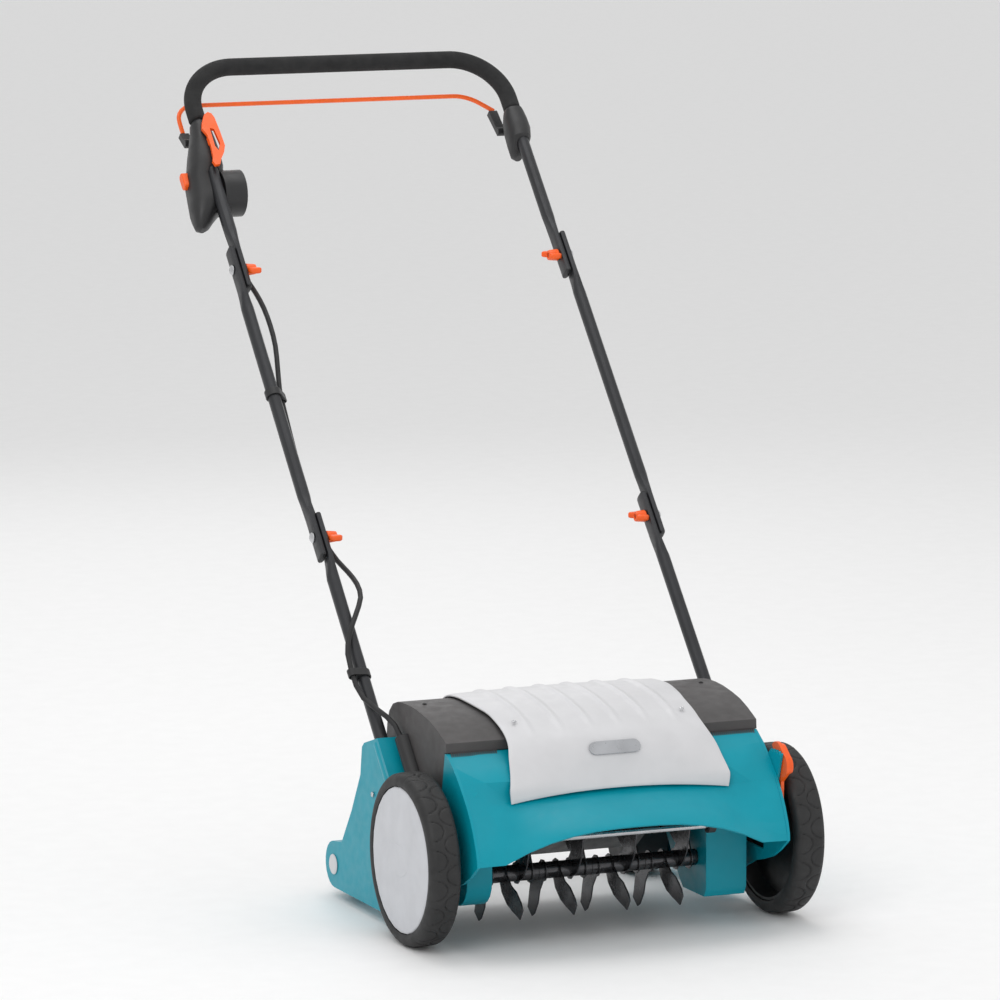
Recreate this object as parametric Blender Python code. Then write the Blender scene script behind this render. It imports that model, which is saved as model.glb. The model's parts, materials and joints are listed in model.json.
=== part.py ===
"""Electric lawn dethatcher: a walk-behind scarifier with a folding three-section handle.

Metres, +Z up.  The front of the machine faces -Y, the handle leans back to +Y.
Inside the script places are measured from the middle of the front wheel axle line, on the
ground; the root empty then moves the machine so that the middle of its plan is the origin.
"""
from math import acos, atan2, cos, degrees, pi, radians, sin, sqrt, tan

import bmesh
import bpy
from mathutils import Matrix, Vector

# ---------------------------------------------------------------- driving dimensions
GAP = 0.0004                # clearance between touching pieces
RUNNING = 0.0006            # clearance of turning pieces

# body
HALF_BODY = 0.2245          # middle plane to the outer face of a side wall
SIDE_WALL = 0.0040
SHEET = 0.0030              # wall of the moulded covers

# front wheels
WHEEL_R = 0.1150
TYRE_WIDTH = 0.0440
TYRE_DEPTH = 0.0177         # from the wheel cap's edge to the tread
LEVER_SPACE = 0.0155        # between a side wall and a wheel
STUB_R = 0.0050             # radius of the cranked axle rod
RIM_BORE_R = STUB_R + RUNNING

# cranked axle and its lever, from the wheel axle
CRANK_Y, CRANK_Z = -0.0750, 0.0290
LEVER_REACH = 0.0820
LEVER_THICKNESS = 0.0050

# rotor, from the wheel axle
ROTOR_Y, ROTOR_Z = 0.0000, -0.0305
SHAFT_R = 0.0085
SLEEVE_R = 0.0115
BLADE_RING_R = 0.0150
BLADE_TIP_R = 0.0775
BLADE_THICKNESS = 0.0020
BLADES_PER_CLUSTER = 4
CLUSTERS = 4
END_MARGIN = 0.0110         # from the outer blade to the chamber's end

# belt drive
BELT_BOX_WIDTH = 0.0595
BELT_BOX_INSET = 0.0215     # from the body's side to the belt box: the crank swings there
BEARING_BOX_WIDTH = 0.0360
ROTOR_PULLEY_R = 0.0220
MOTOR_PULLEY_R = 0.0140
PULLEY_WIDTH = 0.0160
BELT_THICKNESS = 0.0030
MOTOR_Y, MOTOR_Z = 0.1120, 0.1000      # from the wheel axle
MOTOR_R = 0.0420
MOTOR_LENGTH = 0.2100
MOTOR_SHAFT_R = 0.0050

# rear rollers
ROLLER_R = 0.0465
ROLLER_WIDTH = 0.0560
ROLLER_Y = 0.3066
REAR_AXLE_R = 0.0050
ROLLER_CAP_R = 0.0140

# side brackets
BRACKET_DEPTH = 0.0320      # from the side wall to the bracket's outer face
BRACKET_WALL = 0.0035
BRACKET_NOSE_R = 0.0320     # round end about the roller
TYRE_CLEARANCE = 0.0150     # the wheel rises towards the bracket when the body is lowered

# handle: angle above the ground, and the lower bolts from the wheel axle
HANDLE_ANGLE = radians(47.33)
BOLT_Y, BOLT_Z = 0.3800, 0.3706
MIDDLE_LENGTH = 0.4537      # lower bolt to upper bolt
GRIP_REACH = 0.8120         # lower bolt to the middle of the grip's cross bar
TUBE_R = 0.0090
TUBE_WALL = 0.0015
LAP_DEPTH = 0.0090          # thickness of a squashed tube end
LAP_BEYOND = 0.0330         # squashed end beyond its bolt
LAP_BLEND = 0.0350          # length over which a tube turns round again
INNER_TUBE_X = 0.2430       # upper tube's plane
SOCKET_TUBE_X = 0.2455      # lower tube's plane
CORNER_R = 0.0750           # bend of the upper tube
SOCKET_R = 0.0125
SOCKET_TOP = -0.3330        # along the handle, from the lower bolt
BOLT_R = 0.0035
BOLT_HOLE_R = 0.0038
BOLT_HEAD_R = 0.0075
NUT_R = 0.0085
NUT_LENGTH = 0.0150
GRIP_R = 0.0125
GRIP_END = 0.7150           # where the foam grip ends, from the lower bolt

# switch, bail and cable
CABLE_R = 0.00375
BAIL_R = 0.00325
BAIL_DROP = 0.0420          # bail behind the handle's plane
BAIL_BAR = 0.7770           # cross bar of the bail, from the lower bolt
BAIL_PIVOT = (0.7030, 0.0340)          # along and behind the handle
BAIL_LEFT_X, BAIL_RIGHT_X = -0.2515, 0.2318
LUG_R = 0.0065
LUG_WIDTH = 0.0130
LUG_END = 0.0030            # from a lug to the end of the rod, whose end leans
PIVOT_PIN_R = 0.0028
SHROUD_R = 0.0335
SHROUD_WALL = 0.0045
SHROUD_AXIS = (0.6050, 0.0245)         # along and behind the handle
SHROUD_END_X = -0.2010
SHROUD_DEPTH = 0.0200
BUTTON_OUT_X = -0.2835
BUTTON_LENGTH = 0.0160
BUTTON_TRAVEL = 0.0050
BUTTON_PLACE = (0.6270, 0.0220)        # along and behind the handle
BUTTON_SIZE = (0.0260, 0.0140)

ROUND = 20                  # sides of the larger round pieces
SMALL_ROUND = 10
SHAFT_ROUND = 12
TYRE_ROUND = 28              # tyre, rim and cap share it, so their gaps stay even
TUBE_SIDES = 10

# ---------------------------------------------------------------- worked out from them
WHEEL_OUT = HALF_BODY + LEVER_SPACE + TYRE_WIDTH
CAP_R = WHEEL_R - TYRE_DEPTH
MIDDLE_TUBE_X = INNER_TUBE_X + LAP_DEPTH + GAP
BOX_OUT = HALF_BODY - BELT_BOX_INSET
BOX_IN = BOX_OUT - BELT_BOX_WIDTH
CHAMBER_LEFT = -(BOX_OUT - BEARING_BOX_WIDTH)
CHAMBER_RIGHT = BOX_IN
BLADES = CLUSTERS * BLADES_PER_CLUSTER
PITCH = (CHAMBER_RIGHT - CHAMBER_LEFT - 2 * END_MARGIN) / (BLADES - 1)
CRANK_X = HALF_BODY - SIDE_WALL - STUB_R - 0.0055
PULLEY_X = BOX_IN + 0.0225
BRACKET_OUT = HALF_BODY + BRACKET_DEPTH
HOOD_LIP_Y = -0.1356
GRIP_BACK_Y = BOLT_Y + GRIP_REACH * cos(HANDLE_ANGLE) + GRIP_R
PLAN_MIDDLE_Y = (HOOD_LIP_Y + GRIP_BACK_Y) / 2


def level(dz):
    """Height above the ground of something dz above the wheel axle."""
    return WHEEL_R + dz


def handle(x, along, behind=0.0):
    """A point of the handle: along it from the lower bolt, and behind its plane."""
    return Vector((x,
                   BOLT_Y + along * cos(HANDLE_ANGLE) + behind * sin(HANDLE_ANGLE),
                   level(BOLT_Z) + along * sin(HANDLE_ANGLE) - behind * cos(HANDLE_ANGLE)))


def side(y, z, x):
    """A point of a side view, for outlines that are extruded across the machine."""
    return Vector((x, y, z))


def across(x, behind, along):
    return handle(x, along, behind)


def facing(x, along, behind):
    return handle(x, along, behind)


# ---------------------------------------------------------------- scene and materials
for old in list(bpy.data.objects):
    bpy.data.objects.remove(old, do_unlink=True)


def material(name, colour, roughness, metallic=0.0):
    made = bpy.data.materials.new(name)
    made.use_nodes = True
    shader = made.node_tree.nodes["Principled BSDF"]
    shader.inputs["Base Color"].default_value = (*colour, 1.0)
    shader.inputs["Roughness"].default_value = roughness
    shader.inputs["Metallic"].default_value = metallic
    return made


TEAL = material("teal_plastic", (0.0, 0.31, 0.41), 0.38)
LIGHT = material("light_grey_plastic", (0.68, 0.68, 0.71), 0.40)
DARK = material("dark_grey_plastic", (0.075, 0.07, 0.07), 0.45)
BLACK = material("black_plastic", (0.022, 0.022, 0.024), 0.50)
RUBBER = material("black_rubber", (0.018, 0.018, 0.019), 0.75)
FOAM = material("grip_foam", (0.02, 0.02, 0.021), 0.85)
ORANGE = material("orange_plastic", (1.0, 0.14, 0.01), 0.40)
TUBE_PAINT = material("tube_paint", (0.04, 0.042, 0.047), 0.38, 0.2)
STEEL = material("bright_steel", (0.62, 0.62, 0.63), 0.28, 1.0)
BLADE_STEEL = material("blade_steel", (0.05, 0.05, 0.052), 0.35, 0.7)
SHAFT_STEEL = material("shaft_steel", (0.16, 0.165, 0.18), 0.22, 0.9)

AXES = {}


def joint_axis(name, place=(0.0, 0.0, 0.0), parent=None):
    """An empty on a joint's axis; place is measured as the script measures places."""
    empty = bpy.data.objects.new(name, None)
    empty.empty_display_size = 0.03
    bpy.context.scene.collection.objects.link(empty)
    AXES[name] = Vector(place)
    if parent is None:
        empty.location = (0.0, -PLAN_MIDDLE_Y, 0.0)
    else:
        empty.parent = bpy.data.objects[parent]
        empty.location = Vector(place) - AXES[parent]
    return name


def hang(obj, axis, cutter=False):
    obj.parent = bpy.data.objects[axis]
    bpy.context.scene.collection.objects.link(obj)
    if cutter:
        obj.hide_render = True
        obj.display_type = "WIRE"
    return obj


def solid(name, bm, look, axis="machine", cutter=False, smooth=40.0):
    """Turn a closed bmesh into an object whose origin is its joint's axis."""
    bmesh.ops.recalc_face_normals(bm, faces=bm.faces)
    bmesh.ops.translate(bm, verts=bm.verts, vec=-AXES[axis])
    mesh = bpy.data.meshes.new(name)
    bm.to_mesh(mesh)
    bm.free()
    if look is not None:
        mesh.materials.append(look)
    mesh.shade_smooth()
    mesh.set_sharp_from_angle(angle=radians(smooth))
    return hang(bpy.data.objects.new(name, mesh), axis, cutter)


def rod(name, points, radius, look, axis="machine", sides=2):
    """A bent rod or cable through the points, with closed ends."""
    curve = bpy.data.curves.new(name, "CURVE")
    curve.dimensions = "3D"
    curve.bevel_depth = radius
    curve.bevel_resolution = sides
    curve.use_fill_caps = True
    curve.resolution_u = 1
    curve.render_resolution_u = 0
    spline = curve.splines.new("POLY")
    spline.points.add(len(points) - 1)
    for slot, point in zip(spline.points, points):
        slot.co = (*(Vector(point) - AXES[axis]), 1.0)
    curve.materials.append(look)
    return hang(bpy.data.objects.new(name, curve), axis)


def combine(obj, other, operation):
    step = obj.modifiers.new(other.name, "BOOLEAN")
    step.operation = operation
    step.solver = "EXACT"
    step.object = other
    return obj


# ---------------------------------------------------------------- shapes
def circle(a, b, r, n=SMALL_ROUND, turn=0.0):
    return [(a + r * cos(turn + 2 * pi * i / n), b + r * sin(turn + 2 * pi * i / n))
            for i in range(n)]


def arc(a, b, r, start, end, n):
    """Points of an arc, its angles in degrees."""
    return [(a + r * cos(radians(start + (end - start) * i / n)),
             b + r * sin(radians(start + (end - start) * i / n))) for i in range(n + 1)]


def fillet(corners, radii, steps=6):
    """A polyline whose inner corners are rounded; works in two or three dimensions."""
    path = [Vector(corners[0])]
    for before, corner, after, r in zip(corners, corners[1:], corners[2:], radii):
        corner = Vector(corner)
        u = (Vector(before) - corner).normalized()
        v = (Vector(after) - corner).normalized()
        half = acos(max(-1.0, min(1.0, u.dot(v)))) / 2
        reach = r / tan(half)
        centre = corner + (u + v).normalized() * (r / sin(half))
        first, last = corner + u * reach - centre, corner + v * reach - centre
        sweep = pi - 2 * half
        for i in range(steps + 1):
            t = i / steps
            path.append(centre + (first * sin((1 - t) * sweep) + last * sin(t * sweep)) / sin(sweep))
    path.append(Vector(corners[-1]))
    return path


def flow(points, spacing):
    """Points read from a smooth curve through the given ones."""
    knots = [Vector(p) for p in points]
    knots = [2 * knots[0] - knots[1]] + knots + [2 * knots[-1] - knots[-2]]
    read = [knots[1]]
    for p0, p1, p2, p3 in zip(knots, knots[1:], knots[2:], knots[3:]):
        pieces = max(1, round((p2 - p1).length / spacing))
        for i in range(1, pieces + 1):
            t = i / pieces
            read.append(0.5 * (2 * p1 + (p2 - p0) * t + (2 * p0 - 5 * p1 + 4 * p2 - p3) * t * t
                               + (3 * p1 - p0 - 3 * p2 + p3) * t ** 3))
    return read


def extrusion(outline, start, end, place=side, holes=()):
    """A plate: an outline with holes, from start to end along the third direction."""
    bm = bmesh.new()
    edges = []
    for loop in (outline, *holes):
        ring = [bm.verts.new(place(a, b, start)) for a, b in loop]
        edges += [bm.edges.new(pair) for pair in zip(ring, ring[1:] + ring[:1])]
    if holes:
        bmesh.ops.triangle_fill(bm, edges=edges, use_beauty=True)
    else:
        bmesh.ops.contextual_create(bm, geom=edges)
    moved = bmesh.ops.extrude_face_region(bm, geom=bm.faces[:])["geom"]
    step = place(0.0, 0.0, end) - place(0.0, 0.0, start)
    bmesh.ops.translate(bm, verts=[v for v in moved if isinstance(v, bmesh.types.BMVert)], vec=step)
    return bm


def turned(profile, y, z, n=ROUND, closed=False):
    """A profile of (x, radius) turned about the line through y, z along X."""
    bm = bmesh.new()
    rings = []
    for x, r in profile:
        if r == 0.0:
            rings.append([bm.verts.new((x, y, z))])
        else:
            rings.append([bm.verts.new((x, y + r * cos(2 * pi * i / n), z + r * sin(2 * pi * i / n)))
                          for i in range(n)])
    pairs = list(zip(rings, rings[1:])) + ([(rings[-1], rings[0])] if closed else [])
    for one, two in pairs:
        for i in range(n):
            j = (i + 1) % n
            corners = [one[i % len(one)], one[j % len(one)], two[j % len(two)], two[i % len(two)]]
            bm.faces.new(list(dict.fromkeys(corners)))
    if not closed:
        for ring in (rings[0], rings[-1]):
            if len(ring) > 2:
                bm.faces.new(ring)
    return bm


def lofted(rings, inner=None):
    """A skin over rings of points, with flat ends, or open all through when inner is given."""
    bm = bmesh.new()
    outer = [[bm.verts.new(p) for p in ring] for ring in rings]
    n = len(outer[0])

    def skin(one, two):
        for i in range(n):
            bm.faces.new((one[i], one[(i + 1) % n], two[(i + 1) % n], two[i]))

    for one, two in zip(outer, outer[1:]):
        skin(one, two)
    if inner is None:
        bm.faces.new(outer[0])
        bm.faces.new(outer[-1])
        return bm
    lining = [[bm.verts.new(p) for p in ring] for ring in inner]
    for one, two in zip(lining, lining[1:]):
        skin(one, two)
    skin(outer[0], lining[0])
    skin(outer[-1], lining[-1])
    return bm


def sheet(grid, thickness):
    """A curved sheet whose outer face is the grid; its thickness lies behind the face."""
    rows, cols = len(grid), len(grid[0])
    bm = bmesh.new()

    def at(r, c):
        return grid[min(max(r, 0), rows - 1)][min(max(c, 0), cols - 1)]

    outer, inner = [], []
    for r in range(rows):
        outer.append([bm.verts.new(p) for p in grid[r]])
        inner.append([])
        for c in range(cols):
            normal = (at(r, c + 1) - at(r, c - 1)).cross(at(r + 1, c) - at(r - 1, c)).normalized()
            inner[r].append(bm.verts.new(grid[r][c] + normal * thickness))
    for r in range(rows - 1):
        for c in range(cols - 1):
            bm.faces.new((outer[r][c], outer[r][c + 1], outer[r + 1][c + 1], outer[r + 1][c]))
            bm.faces.new((inner[r][c], inner[r + 1][c], inner[r + 1][c + 1], inner[r][c + 1]))
    rim = ([(0, c) for c in range(cols)] + [(r, cols - 1) for r in range(1, rows)]
           + [(rows - 1, c) for c in range(cols - 2, -1, -1)] + [(r, 0) for r in range(rows - 2, 0, -1)])
    for (r0, c0), (r1, c1) in zip(rim, rim[1:] + rim[:1]):
        bm.faces.new((outer[r0][c0], outer[r1][c1], inner[r1][c1], inner[r0][c0]))
    return bm


def handle_ring(x, along, behind, half_x, half_b, n=SMALL_ROUND, power=2.0):
    """A rounded section across the handle."""
    ring = []
    for i in range(n):
        t = 2 * pi * (i + 0.5) / n
        a, b = cos(t), sin(t)
        ring.append(handle(x + half_x * abs(a) ** (2 / power) * (1 if a > 0 else -1), along,
                           behind + half_b * abs(b) ** (2 / power) * (1 if b > 0 else -1)))
    return ring


def handle_cylinder(x, start, end, behind, r, n=SMALL_ROUND):
    return lofted([handle_ring(x, along, behind, r, r, n) for along in (start, end)])


def cross_cylinder(along, behind, x0, x1, r, n=SMALL_ROUND):
    place = handle(0.0, along, behind)
    return turned([(x0, r), (x1, r)], place.y, place.z, n)


joint_axis("machine")

# ---------------------------------------------------------------- front wheels
joint_axis("crank_axis", (0.0, CRANK_Y, level(CRANK_Z)), "machine")


def front_wheel(hand, sign):
    """Tyre, rim and cap; offsets are inwards from the wheel's outer face."""
    axis = joint_axis(f"wheel_axis_{hand}", (0.0, 0.0, WHEEL_R), "crank_axis")

    def profile(points):
        return [(sign * (WHEEL_OUT - d), r) for d, r in points]

    bead = CAP_R + GAP
    tyre = profile([(0.0010, bead), (0.0002, WHEEL_R - 0.0125), (0.0030, WHEEL_R - 0.0045),
                    (0.0090, WHEEL_R - 0.0008), (0.0160, WHEEL_R), (TYRE_WIDTH - 0.0160, WHEEL_R),
                    (TYRE_WIDTH - 0.0090, WHEEL_R - 0.0008), (TYRE_WIDTH - 0.0030, WHEEL_R - 0.0045),
                    (TYRE_WIDTH, WHEEL_R - 0.0125), (TYRE_WIDTH - 0.0010, bead)])
    solid(f"tyre_{hand}", turned(tyre, 0.0, WHEEL_R, TYRE_ROUND, closed=True), RUBBER, axis)
    hub_r, web, flange = 0.0190, 0.0040, 0.0040
    rim = profile([(0.0100, RIM_BORE_R), (0.0100, hub_r), (0.0140, hub_r + 0.0020),
                   (0.0140, CAP_R - flange - 0.0020), (0.0052, CAP_R - flange), (0.0052, CAP_R),
                   (TYRE_WIDTH - 0.0030, CAP_R), (TYRE_WIDTH - 0.0030, CAP_R - flange),
                   (0.0140 + web, CAP_R - flange - 0.0040), (0.0140 + web, hub_r + 0.0020),
                   (TYRE_WIDTH - 0.0020, hub_r - 0.0020), (TYRE_WIDTH - 0.0020, RIM_BORE_R)])
    solid(f"wheel_rim_{hand}", turned(rim, 0.0, WHEEL_R, TYRE_ROUND, closed=True), BLACK, axis)
    cap = profile([(0.0, 0.0), (0.0, CAP_R - 0.0100), (0.0012, CAP_R - 0.0010), (0.0030, CAP_R),
                   (0.0048, CAP_R), (0.0030, CAP_R - 0.0100), (0.0030, 0.0)])
    solid(f"wheel_cap_{hand}", turned(cap, 0.0, WHEEL_R, TYRE_ROUND), LIGHT, axis)


for hand, sign in (("left", -1), ("right", 1)):
    front_wheel(hand, sign)


def cranked_axle():
    """One bent rod: stub, crank, bar across the mouth, crank, stub."""
    stub = WHEEL_OUT - 0.0110
    half = [(CRANK_X, CRANK_Y, level(CRANK_Z)), (CRANK_X, 0.0, WHEEL_R), (stub, 0.0, WHEEL_R)]
    corners = [(-x, y, z) for x, y, z in reversed(half)] + half
    rod("height_axle", fillet(corners, [0.0115] * 4, 4), STUB_R, STEEL, "crank_axis", 2)


cranked_axle()


def height_lever():
    """Lever outside the right wall, with the pin that turns the crank through the wall."""
    inner = HALF_BODY + 0.0045
    outer = inner + LEVER_THICKNESS
    top = level(CRANK_Z) + LEVER_REACH
    arm = 0.0065
    outline = (arc(CRANK_Y, level(CRANK_Z), 0.0120, 130, 410, 10)
               + [(CRANK_Y + arm, top - 0.0300), (CRANK_Y + 0.0170, top - 0.0270),
                  (CRANK_Y + 0.0190, top - 0.0190), (CRANK_Y + 0.0130, top + 0.0060),
                  (CRANK_Y + 0.0190, top + 0.0150)]
               + arc(CRANK_Y + 0.0060, top + 0.0040, 0.0175, 55, 130, 4)
               + arc(CRANK_Y - 0.0110, top - 0.0080, 0.0170, 110, 215, 6)
               + [(CRANK_Y - arm - 0.0030, top - 0.0300)])
    lever = solid("height_lever", extrusion(outline, inner, outer), ORANGE, "crank_axis")
    pin = turned([(CRANK_X + STUB_R + GAP, 0.0045), (inner + 0.0010, 0.0045)],
                 CRANK_Y, level(CRANK_Z), SMALL_ROUND)
    combine(lever, solid("lever_pin", pin, None, "crank_axis", cutter=True), "UNION")
    paddle = (arc(CRANK_Y + 0.0060, top + 0.0040, 0.0140, 60, 130, 4)
              + arc(CRANK_Y - 0.0110, top - 0.0080, 0.0140, 110, 215, 6)
              + [(CRANK_Y - 0.0050, top - 0.0240), (CRANK_Y + 0.0120, top - 0.0220)])
    boss = extrusion(paddle, outer - 0.0010, outer + 0.0060)
    combine(lever, solid("lever_paddle", boss, None, "crank_axis", cutter=True), "UNION")


height_lever()

# ---------------------------------------------------------------- hood
# Rows of the hood's outer face, from its top edge to the lip over the mouth: how far forward
# and how high (from the wheel axle) it lies in the middle, at the crease and at the side.
HOOD_ROWS = [
    # middle y, z           crease x, y, z                 side y, z
    ((-0.0165, 0.1403), (0.1500, -0.0170, 0.1403), (-0.0175, 0.1403)),
    ((-0.0420, 0.1250), (0.1520, -0.0500, 0.1250), (-0.0400, 0.1265)),
    ((-0.0560, 0.1050), (0.1550, -0.0670, 0.1080), (-0.0620, 0.1080)),
    ((-0.0635, 0.0890), (0.1565, -0.0705, 0.0810), (-0.0850, 0.0850)),
    ((-0.0740, 0.0810), (0.1600, -0.0800, 0.0710), (-0.0980, 0.0690)),
    ((-0.0950, 0.0730), (0.1670, -0.0975, 0.0550), (-0.1090, 0.0510)),
    ((-0.1180, 0.0620), (0.1750, -0.1115, 0.0360), (-0.1180, 0.0320)),
    ((-0.1310, 0.0540), (0.1820, -0.1230, 0.0200), (-0.1225, 0.0180)),
    ((HOOD_LIP_Y, 0.0497), (0.1847, -0.1262, 0.0105), (-0.1230, 0.0090)),
]
CREASE_INSET = 0.0020       # the sheet ends this far inside the side walls
ARCH_POWER = 2.6            # how square the mouth's arch is
WINDOW = ((-0.0500, -0.0170), (0.0160, 0.0270))    # opening for the stub axle, from the axle
WALL_TOP = 0.0750           # top of the side wall behind the hood
WALL_BACK = 0.2000


def hood_grid():
    steps = 6
    grid = []
    for middle, crease, edge in HOOD_ROWS:
        row = []
        for i in range(-steps, steps + 1):
            t = abs(i) / steps
            bend = t ** ARCH_POWER
            row.append(Vector((crease[0] * i / steps, middle[0] + (crease[1] - middle[0]) * bend,
                               level(middle[1] + (crease[2] - middle[1]) * bend))))
        reach = HALF_BODY - CREASE_INSET
        for t in (0.5, 1.0):
            for sign in (-1, 1):
                point = Vector((sign * (crease[0] + (reach - crease[0]) * t),
                                crease[1] + (edge[0] - crease[1]) * t,
                                level(crease[2] + (edge[1] - crease[2]) * t)))
                row.insert(0, point) if sign < 0 else row.append(point)
        grid.append(row)
    return grid


def side_wall_outline():
    front = [(y - GAP, level(z)) for _, _, (y, z) in HOOD_ROWS]
    lower = [(-0.1000, -0.0080), (-0.0756, -0.0215), (-0.0480, -0.0305), (-0.0206, -0.0380),
             (0.0080, -0.0510), (0.0300, -0.0650), (0.0600, -0.0720), (WALL_BACK, -0.0720),
             (WALL_BACK, WALL_TOP), (0.0000, WALL_TOP), (-0.0130, 0.1403)]
    return front + [(y, level(z)) for y, z in lower]


def hood():
    shell = solid("hood", sheet(hood_grid(), SHEET), TEAL, smooth=30.0)
    (y0, z0), (y1, z1) = WINDOW
    window = [(y0, level(z0)), (y1, level(z0)), (y1, level(z1)), (y0, level(z1))]
    pivot = circle(CRANK_Y, level(CRANK_Z), 0.0052)
    for hand, sign in (("left", -1), ("right", 1)):
        holes = (window, pivot) if sign > 0 else (window,)
        wall = extrusion(side_wall_outline(), sign * (HALF_BODY - SIDE_WALL), sign * HALF_BODY,
                         holes=holes)
        combine(shell, solid(f"side_wall_{hand}", wall, None, cutter=True), "UNION")


hood()


def detent_rack():
    """Toothed quadrant on the right wall, behind the lever, that its pointer drops into."""
    teeth, reach, depth = 4, LEVER_REACH + 0.0120, 0.0035
    start, step = 84.0, 5.0
    outline = [(-0.0500, level(0.0800)), (-0.0500, level(0.1130))]
    for k in range(teeth):
        middle = start + step * k
        for turn, r in ((-0.45, reach), (-0.15, reach - depth), (0.15, reach - depth), (0.45, reach)):
            angle = radians(middle + step * turn)
            outline.append((CRANK_Y + r * cos(angle), level(CRANK_Z) + r * sin(angle)))
    outline += [(-0.0800, level(0.0800))]
    solid("detent_rack", extrusion(outline, HALF_BODY + GAP, HALF_BODY + 0.0038), TEAL)


detent_rack()

# ---------------------------------------------------------------- covers on top
# Side outline of the dark cover, from the front band over the top to the rear foot.
COVER_OUTLINE = [(-0.0178, 0.1413), (-0.0168, 0.1541), (0.0117, 0.1659), (0.0350, 0.1733),
                 (0.0613, 0.1782), (0.0900, 0.1818), (0.1124, 0.1829), (0.1343, 0.1825),
                 (0.1540, 0.1805), (0.1700, 0.1755), (0.1830, 0.1640), (0.1900, 0.1500),
                 (0.1930, 0.1300), (0.1960, 0.0760)]


def offset_inward(points, distance):
    """The outline's points moved to its inner side; it runs front, top, rear."""
    moved = []
    for i, (y, z) in enumerate(points):
        y0, z0 = points[max(i - 1, 0)]
        y1, z1 = points[min(i + 1, len(points) - 1)]
        run = sqrt((y1 - y0) ** 2 + (z1 - z0) ** 2)
        moved.append((y + (z1 - z0) / run * distance, z - (y1 - y0) / run * distance))
    return moved


def motor_cover():
    foot = [(0.0004, 0.0760), (-0.0125, 0.1413)]
    outer = [(y, level(z)) for y, z in COVER_OUTLINE + foot]
    shell = solid("motor_cover", extrusion(outer, -HALF_BODY, HALF_BODY), DARK, smooth=30.0)
    inner = offset_inward(COVER_OUTLINE[1:], SHEET)
    hollow = ([(-0.0400, level(0.1411))] + [(-0.0137, level(0.1411))]
              + [(y, level(z)) for y, z in inner]
              + [(inner[-1][0], level(0.0500)), (-0.0400, level(0.0500))])
    reach = HALF_BODY - SHEET
    combine(shell, solid("cover_hollow", extrusion(hollow, -reach, reach), None, cutter=True),
            "DIFFERENCE")


motor_cover()

# Rows of the light panel's outer face from its rear end to its front edge: middle y, z, then
# edge x, y, z.  Heights are from the wheel axle.
PANEL_ROWS = [
    ((0.1990, 0.1400), (0.1480, 0.1990, 0.1400)),
    ((0.1955, 0.1560), (0.1485, 0.1955, 0.1550)),
    ((0.1880, 0.1695), (0.1490, 0.1880, 0.1680)),
    ((0.1740, 0.1815), (0.1495, 0.1740, 0.1795)),
    ((0.1540, 0.1880), (0.1500, 0.1540, 0.1855)),
    ((0.1280, 0.1905), (0.1500, 0.1280, 0.1880)),
    ((0.1000, 0.1905), (0.1500, 0.1000, 0.1880)),
    ((0.0613, 0.1870), (0.1460, 0.0613, 0.1842)),
    ((0.0354, 0.1828), (0.1424, 0.0354, 0.1798)),
    ((0.0050, 0.1760), (0.1415, 0.0050, 0.1712)),
    ((-0.0180, 0.1680), (0.1415, -0.0173, 0.1615)),
    ((-0.0370, 0.1590), (0.1440, -0.0360, 0.1505)),
    ((-0.0500, 0.1470), (0.1490, -0.0510, 0.1362)),
    ((-0.0580, 0.1320), (0.1525, -0.0640, 0.1200)),
    ((-0.0640, 0.1150), (0.1560, -0.0740, 0.1060)),
    ((-0.0700, 0.0990), (0.1579, -0.0782, 0.0960)),
    ((-0.0734, 0.0899), (0.1562, -0.0776, 0.0791)),
]


def centre_panel():
    steps = 6
    grid = []
    for middle, edge in PANEL_ROWS:
        grid.append([Vector((edge[0] * i / steps, middle[0] + (edge[1] - middle[0]) * (i / steps) ** 2,
                             level(middle[1] + (edge[2] - middle[1]) * (i / steps) ** 2)))
                     for i in range(-steps, steps + 1)])
    solid("centre_panel", sheet(grid, SHEET), LIGHT, smooth=50.0)


centre_panel()


def badge():
    """Plain stadium-shaped plate standing on the front of the panel."""
    half_long, half_high, thick = 0.0280, 0.0090, 0.0016
    foot = Vector((0.0, -0.0500, level(0.1470)))
    up = Vector((0.0, -0.0580, level(0.1320))) - foot
    up = -up.normalized()
    out = Vector((0.0, -up.z, up.y))
    centre = Vector((0.0, -0.0540, level(0.1395))) + out * (GAP + 0.0012)
    outline = arc(half_long, 0.0, half_high, -90, 90, 6) + arc(-half_long, 0.0, half_high, 90, 270, 6)
    plate = extrusion(outline, 0.0, thick, place=lambda a, b, t: centre + Vector((a, 0.0, 0.0))
                      + up * b + out * t)
    solid("badge", plate, LIGHT)


badge()


def cable_guard():
    """Half-round cover on the left wall that takes the cable into the motor cover."""
    top, foot, behind, r = -0.3450, -0.4200, -0.0300, 0.0112
    wall_x = -(HALF_BODY + GAP)

    def half_round(along):
        n = 10
        return [handle(wall_x - r * 1.35 * sin(pi * i / n), along, behind - r * cos(pi * i / n))
                for i in range(n + 1)]

    guard = solid("cable_guard", lofted([half_round(top), half_round(foot)]), BLACK)
    bore = handle_cylinder(wall_x - 0.0065, top - 0.0240, top + 0.0100, behind, CABLE_R + GAP)
    combine(guard, solid("guard_bore", bore, None, cutter=True), "DIFFERENCE")


cable_guard()

# ---------------------------------------------------------------- chamber, drive and rotor
DECK_LINE = [(-0.0920, 0.0480), (-0.0850, 0.0500), (-0.0500, 0.0555), (0.0450, 0.0555),
             (0.0800, 0.0350), (0.1400, -0.0100), (0.1950, -0.0510)]


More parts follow.
